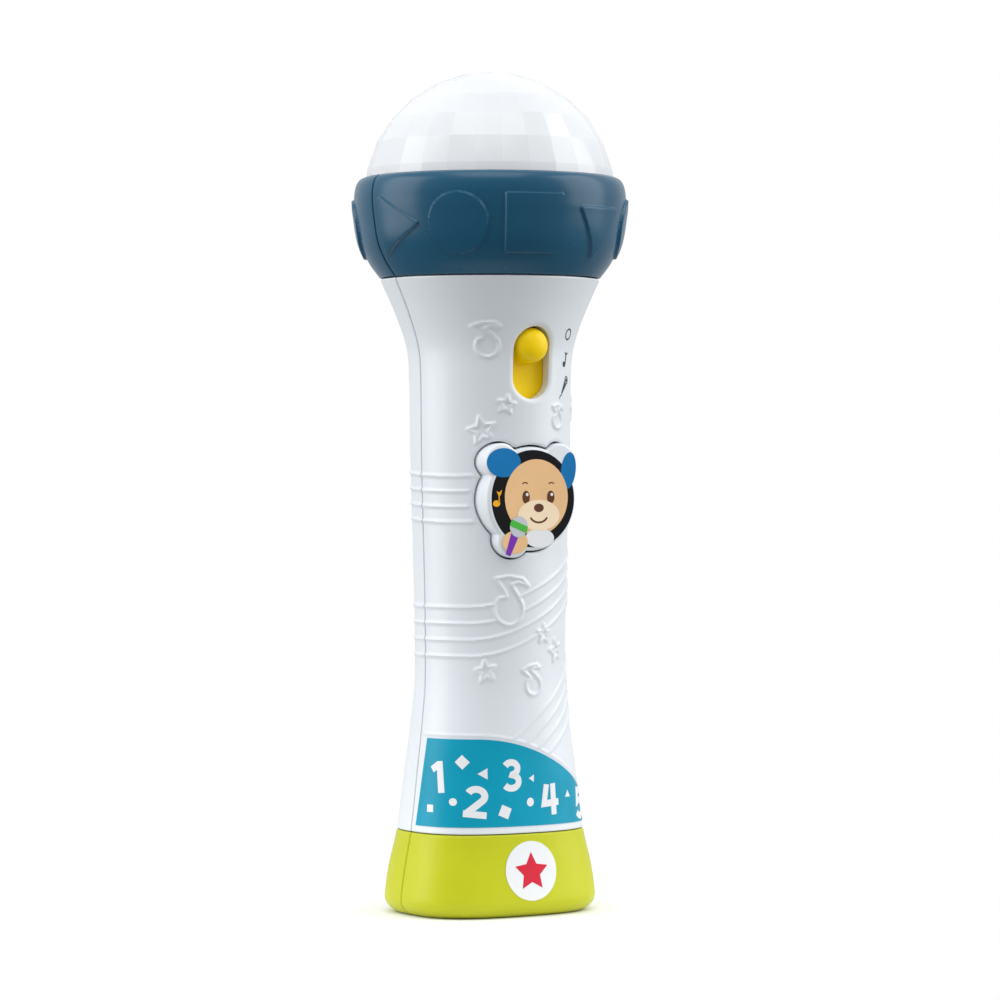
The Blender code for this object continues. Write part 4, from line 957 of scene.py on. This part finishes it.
def artwork():
    """The picture on the button: a plain bear's face with ears, a note and a small microphone."""
    brows = [outline for x in (-2.2, 5.9) for outline in stroke(arc((x, 2.9), 1.3, 50, 130), 0.32)]
    layers = (
        ("button_disc", [circle(0.3, 0.0, 12.7, 96)], BLACK_INK, 0),
        ("ear_left", [circle(-8.7, 9.4, (5.2, 3.8))], SKY_INK, 1),
        ("ear_right", [moved(circle(0, 0, (2.3, 4.9)), 11.2, 7.3, turn=-8.0)], SKY_INK, 1),
        ("face", [circle(1.3, 0.4, (9.7, 9.9), 72)], TAN_INK, 2),
        ("bib", [circle(2.3, -10.3, (4.4, 2.5))], WHITE_INK, 3),
        ("muzzle", [circle(2.0, -4.3, (6.4, 4.0), 56)], CREAM_INK, 4),
        ("eyes", [circle(-1.9, 0.4, (1.15, 1.7)), circle(5.7, 0.4, (1.15, 1.7))], BROWN_INK, 3),
        ("eye_glints", [circle(-1.6, 1.1, 0.42, 20), circle(6.0, 1.1, 0.42, 20)], WHITE_INK, 5),
        ("nose", [circle(2.0, -2.4, (1.5, 1.1))], BROWN_INK, 5),
        ("smile", stroke(arc((2.0, -4.2), (2.7, 2.0), 200, 340, 16), 0.5), BROWN_INK, 5),
        ("brows", brows, BROWN_INK, 3),
        ("button_note", [NOTE_HEAD, NOTE_FLAG], AMBER_INK, 1),
        ("paw", [circle(-5.3, -11.3, (3.9, 3.0))], TAN_INK, 5),
        ("toy_mic_grip", [moved(TOY_MIC_GRIP, -4.9, -8.2, turn=-22.0)], PURPLE_INK, 6),
        ("toy_mic_ball", [circle(-4.2, -7.3, 2.75)], PALE_GREY_INK, 7),
        ("toy_mic_band", [moved(TOY_MIC_BAND, -4.2, -7.3, turn=-22.0)], LIME_INK, 8),
    )
    for name, outlines, look, level in layers:
        nodes = ("button_sticker",) if name == "button_disc" else ()
        keep(film(name, outlines, on_button, *layer(level), step=20.0), "song_button", nodes, look)


# ---- printed films

BAND_LEFT, BAND_RIGHT, BAND_LOW = -84.5, 84.0, 23.8
BAND_LEAN = 3.5


def number_band():
    """The coloured band, whose left end leans a little."""
    share = np.linspace(0, 1, 16)[:, None]
    along = np.linspace(0, 1, 190)[None, :]
    degrees = BAND_LEFT + BAND_LEAN * share + (BAND_RIGHT - BAND_LEFT - BAND_LEAN * share) * along
    up = BAND_LOW + (band_top(degrees) - BAND_LOW) * share
    turn = np.radians(degrees)
    front = around(turn, reach(turn, up, -0.13), up)
    back = around(turn, reach(turn, up, -0.04), up)
    rows = np.concatenate((front, back[::-1]))
    band = half_ring("number_band", rows)
    keep(band, BODY, ("number_sticker",), TEAL_INK)


DIGIT = 1.75
# Each digit as strokes in a box about 6 wide and 8.2 high, round its middle.
DIGITS = {
    "one": [[(-2.0, 2.0), (0.0, 3.2)], [(0.4, 4.1), (0.4, -4.1)]],
    "two": [arc((0.0, 1.6), (2.1, 1.75), 160, -OUTSIDE, 14) + [(-2.2, -3.25)], [(-2.9, -3.25), (2.9, -3.25)]],
    "three": [arc((-0.2, 1.75), (1.9, 1.6), 150, -80, 14) + arc((-0.3, -1.65), (2.2, 1.75), 80, -150, 14)],
    "four": [[(-1.1, 4.1), (-2.2, -0.9), (2.9, -0.9)], [(1.1, 4.1), (1.1, -4.1)]],
    "five": [[(2.4, 3.3), (-1.5, 3.3), (-1.6, 0.6)] + arc((-0.2, -1.3), (2.2, 2.1), 130, -145, 16)],
}
NUMBERS = (
    ("one", -24.7, 36.7, 4.0), ("two", -15.4, 30.4, -6.0), ("three", -5.5, 37.2, 2.0),
    ("four", 7.0, 30.4, 4.0), ("five", 20.5, 28.6, -5.0),
)
# Small shapes between the digits: corners, across, up, radius, turn. No corners is a dot.
CONFETTI = (
    (4, -18.5, 40.7, 1.9, 0.0), (3, -13.1, 37.7, 1.7, 180.0), (3, 0.8, 36.2, 1.1, 180.0),
    (0, -21.0, 30.4, 1.0, 0.0), (0, 0.2, 30.0, 1.15, 0.0), (4, -27.3, 28.5, 1.35, 45.0),
    (4, -7.8, 27.7, 2.1, 22.0), (3, 13.7, 31.3, 1.2, 90.0),
)


def numbers():
    for name, across, up, turn in NUMBERS:
        for i, path in enumerate(DIGITS[name]):
            marks = [moved(outline, across, up, turn=turn) for outline in stroke(path, DIGIT)]
            mark = film(f"number_{name}_{i + 1}", marks, on_handle, 0.10 + 0.012 * i, 0.17 + 0.012 * i)
            keep(mark, BODY, (), WHITE_INK)
    for i, (corners, across, up, radius, turn) in enumerate(CONFETTI, 1):
        outline = polygon(radius, corners, turn) if corners else polygon(radius, 24)
        mark = film(f"band_shape_{i}", [moved(outline, across, up)], on_handle, 0.10, 0.17)
        keep(mark, BODY, (), WHITE_INK)


def on_badge(across, up, lift):
    return on_front(across, up + BADGE_HEIGHT, lift)


def badge():
    disc = film("base_badge_disc", [circle(0, 0, BADGE_RADIUS, 96)], on_badge, 0.04, 0.14)
    keep(disc, BODY, ("base_badge",), WHITE_INK)
    mark = film("base_badge_star", [moved(star(5.2, waist=0.5), 0, -0.3)], on_badge, 0.12, 0.20)
    keep(mark, BODY, (), RED_INK)


ICON_STEM = ((0.1, -1.4), (0.45, -1.3), (0.75, 0.9), (1.7, 1.7), (0.6, 1.5), (-0.4, 1.9), (0.3, 0.9))
ICON_MIC = ((-0.22, -3.3), (0.22, -3.3), (0.75, 0.0), (-0.75, 0.0))
ICON_CABLE = ((0.0, -3.3), (0.2, -3.9), (-0.2, -4.5), (0.1, -5.2))


def mode_icons():
    """Printed marks beside the slot: off, music, and sing along."""
    across = 12.7
    grip, cable = (moved(path, across + 0.7, 139.6, turn=-38.0) for path in (ICON_MIC, ICON_CABLE))
    marks = (
        ("icon_off", stroke(circle(across, 152.4, 1.35, 32), 0.38, closed=True), 0),
        ("icon_note_head", [circle(across - 0.4, 144.6, (0.85, 0.75), 20)], 0),
        ("icon_note_stem", [moved(ICON_STEM, across, 146.0)], 1),
        ("icon_mic_head", stroke(circle(across + 1.4, 140.4, 0.95, 24), 0.35, closed=True), 0),
        ("icon_mic_mesh", [circle(across + 1.4, 140.4, 0.5, 16)], 1),
        ("icon_mic_body", [grip], 1),
        ("icon_mic_cable", stroke(cable, 0.25), 0),
    )
    for name, outlines, level in marks:
        keep(film(name, outlines, on_handle, *layer(level)), BODY, (), GREY_INK)


# ---- finishes of the parts inside


def brushed(name, colour, roughness, along):
    """Metal with a directional grain."""
    made = moulded(name, colour, roughness, grain=0.15, shift=0.06, metallic=1.0)
    nodes, _, place = tree(made)
    stretch = add(nodes, "Mapping", {"Vector": place, "Scale": along})
    for node in nodes:
        if node.type == "TEX_NOISE":
            feed(node, {"Vector": stretch.outputs["Vector"]})
    return made


def solder_mask():
    """A green board with lighter tracks."""
    green = (0.012, 0.15, 0.05)
    made = moulded("board_mask", green, 0.32, grain=0.1, shift=0.08, coat=0.4)
    nodes, shader, place = tree(made)
    tracks = add(nodes, "TexBrick", {
        "Vector": place, "Scale": 260.0, "Mortar Size": 0.03,
        "Color1": (*green, 1), "Color2": (0.014, 0.17, 0.055, 1), "Mortar": (0.03, 0.3, 0.1, 1),
    })
    feed(shader, {"Base Color": tracks.outputs["Color"]})
    return made


def cell_wrap():
    """A battery's jacket: a dark wrap with a copper-coloured end, split by height along the cell."""
    made = moulded("cell_wrap", (0.03, 0.09, 0.28), 0.3, grain=0.05, shift=0.05, coat=0.3)
    nodes, shader, place = tree(made)
    up = add(nodes, "SeparateXYZ", {"Vector": place}).outputs["Z"]
    split = add(nodes, "Math", {0: up, 1: 0.072}, operation="GREATER_THAN")
    copper, wrap = (0.72, 0.42, 0.2, 1), nodes["tint"].outputs["Color"]
    mix = add(nodes, "Mix", {"Factor": split.outputs["Value"], "A": wrap, "B": copper}, data_type="RGBA")
    feed(shader, {"Base Color": mix.outputs["Result"]})
    return made


SLOT_LOOKS = {
    "white_shell": WHITE,
    "navy_collar": NAVY,
    "green_base": GREEN,
    "clear_dome": DOME,
    "yellow_knob": YELLOW,
    "blue_film": TEAL_INK,
    "black_film": BLACK_INK,
    "white_film": WHITE_INK,
    "reflector_white": moulded("bowl_white", (0.86, 0.87, 0.88), 0.28, grain=0.05, shift=0.012, coat=0.3),
    "led_red": clear_plastic("led_red_resin", (0.85, 0.12, 0.12), 0.12, 0.5, shift=0.05),
    "led_green": clear_plastic("led_green_resin", (0.1, 0.7, 0.18), 0.12, 0.5, shift=0.05),
    "led_blue": clear_plastic("led_blue_resin", (0.1, 0.2, 0.85), 0.12, 0.5, shift=0.05),
    "board_green": solder_mask(),
    "chip_black": moulded("chip_resin", (0.018, 0.018, 0.02), 0.5, grain=0.4, shift=0.15),
    "grey_rubber": moulded("soft_rubber", (0.2, 0.2, 0.21), 0.7, grain=0.5, shift=0.08),
    "steel": brushed("zinc_steel", (0.62, 0.63, 0.64), 0.3, (1.0, 1.0, 9.0)),
    "tinned_contact": brushed("tinned_steel", (0.78, 0.77, 0.73), 0.24, (1.0, 7.0, 1.0)),
    "paper_cone": moulded("paper_fibre", (0.05, 0.05, 0.055), 0.85, grain=0.8, shift=0.2),
    "tray_plastic": moulded("tray_plastic_fine", (0.045, 0.045, 0.05), 0.48, grain=0.4, shift=0.1),
    "cell_jacket": cell_wrap(),
    "red_insulation": moulded("red_pvc", (0.6, 0.02, 0.02), 0.42, grain=0.1, shift=0.08),
    "black_insulation": moulded("black_pvc", (0.02, 0.02, 0.02), 0.42, grain=0.1, shift=0.1),
}


def finish_frame_nodes():
    """Better finishes for the CAD nodes, by the record's material slot."""
    for part in frame["record"]["subparts"]:
        node = frame["nodes"][part["node"]]
        node.data.materials.clear()
        node.data.materials.append(SLOT_LOOKS[part["material_slot"]])


# ---- setting

# The camera's direction from the middle of the object, and the point that the lights are turned to.
VIEW = radians(-31.5)
LIT_POINT = Vector((0, 0, 0.15))

def mix_shaders(nodes, share, first, second, kind):
    """Send a mix of two shaders to the output of a material or a world."""
    mix = add(nodes, "MixShader", {"Fac": share, 1: first, 2: second})
    feed(nodes[f"{kind} Output"], {"Surface": mix.outputs["Shader"]})


def ground():
    """A pale round floor that fades into the white backdrop."""
    mesh = bpy.data.meshes.new("floor")
    mesh.from_pydata([(x, y, 0) for x, y in polygon(0.9, 96)], [], [tuple(range(96))])
    obj = new_object("floor", mesh)
    obj.location.z = -0.00005
    paper = moulded("floor_paper", (0.88, 0.88, 0.88), 0.8, grain=0.05, shift=0.004, scale=60.0)
    nodes, shader, place = tree(paper)
    far = add(nodes, "VectorMath", {0: place}, operation="LENGTH").outputs["Value"]
    fading = {"Value": far, "From Min": 0.03, "From Max": 0.15}
    share = add(nodes, "MapRange", fading, interpolation_type="SMOOTHSTEP").outputs["Result"]
    clear = add(nodes, "BsdfTransparent", {}).outputs["BSDF"]
    mix_shaders(nodes, share, shader.outputs["BSDF"], clear, "Material")
    mesh.materials.append(paper)


def surroundings():
    """A white backdrop for the camera, and a softer light for the object, dimmer from below and in front."""
    world = bpy.data.worlds.new("studio")
    bpy.context.scene.world = world
    world.use_nodes = True
    nodes = world.node_tree.nodes
    place = add(nodes, "TexCoord", {}).outputs["Generated"]
    up = add(nodes, "SeparateXYZ", {"Vector": place}).outputs["Z"]
    from_below = {"Value": up, "From Min": -0.6, "From Max": 0.6, "To Min": 0.42, "To Max": 1.0}
    by_height = add(nodes, "MapRange", from_below).outputs["Result"]
    to_camera = (sin(VIEW), -cos(VIEW), 0.0)
    towards = add(nodes, "VectorMath", {0: place, 1: to_camera}, operation="DOT_PRODUCT").outputs["Value"]
    in_front = {"Value": towards, "From Min": 0.25, "From Max": 0.95, "To Min": 1.0, "To Max": 0.62}
    dim_front = add(nodes, "MapRange", in_front).outputs["Result"]
    strength = add(nodes, "Math", {0: by_height, 1: dim_front}, operation="MULTIPLY").outputs["Value"]
    ambient = nodes["Background"]
    feed(ambient, {"Color": (0.95, 0.97, 1.0, 1), "Strength": strength})
    backdrop = add(nodes, "Background", {"Color": (1, 1, 1, 1), "Strength": 1.0})
    path = add(nodes, "LightPath", {}).outputs
    rays = {0: path["Is Camera Ray"], 1: path["Is Transmission Ray"]}
    seen = add(nodes, "Math", rays, operation="MAXIMUM").outputs["Value"]
    mix_shaders(nodes, seen, ambient.outputs["Background"], backdrop.outputs["Background"], "World")


def area_light(name, azimuth, distance, height, size, power):
    """A soft light, its azimuth in degrees from the front, that shines on the upper half of the object."""
    data = bpy.data.lights.new(name, "AREA")
    data.shape = "RECTANGLE"
    data.size, data.size_y = size
    data.energy = power
    obj = new_object(name, data)
    turn = radians(azimuth)
    obj.location = (distance * sin(turn), -distance * cos(turn), height)
    obj.rotation_euler = (obj.location - LIT_POINT).to_track_quat("Z", "Y").to_euler()


def camera():
    data = bpy.data.cameras.new("camera")
    data.lens = 142.4
    data.sensor_width = 36.0
    obj = new_object("camera", data)
    distance, height = 1.05, 0.1195
    obj.location = (distance * sin(VIEW), -distance * cos(VIEW), height)
    down, aside = radians(0.585), radians(0.145)
    obj.rotation_euler = (pi / 2 - down, 0, VIEW - aside)
    bpy.context.scene.camera = obj


front_shell()
rear_shell()
battery_door()
base_half("base_front_skin", -1, ("base_front",))
base_half("base_rear_skin", 1, ("base_rear",))
collar_half("collar_front_skin", -1, 0.0, ("collar_front",))
collar_half("collar_rear_skin", 1, 180.0, ("collar_rear",))
dome()
knob()
button()
artwork()
number_band()
numbers()
badge()
mode_icons()
finish_frame_nodes()
ground()
surroundings()
area_light("right_key", 58.0, 1.1, 0.62, (0.9, 1.3), 8.0)
area_light("left_fill", -114.0, 1.0, 0.45, (0.7, 1.2), 6.2)
area_light("top", -31.0, 0.5, 1.2, (0.9, 0.9), 4.6)
camera()
bpy.context.scene.view_settings.view_transform = "Standard"
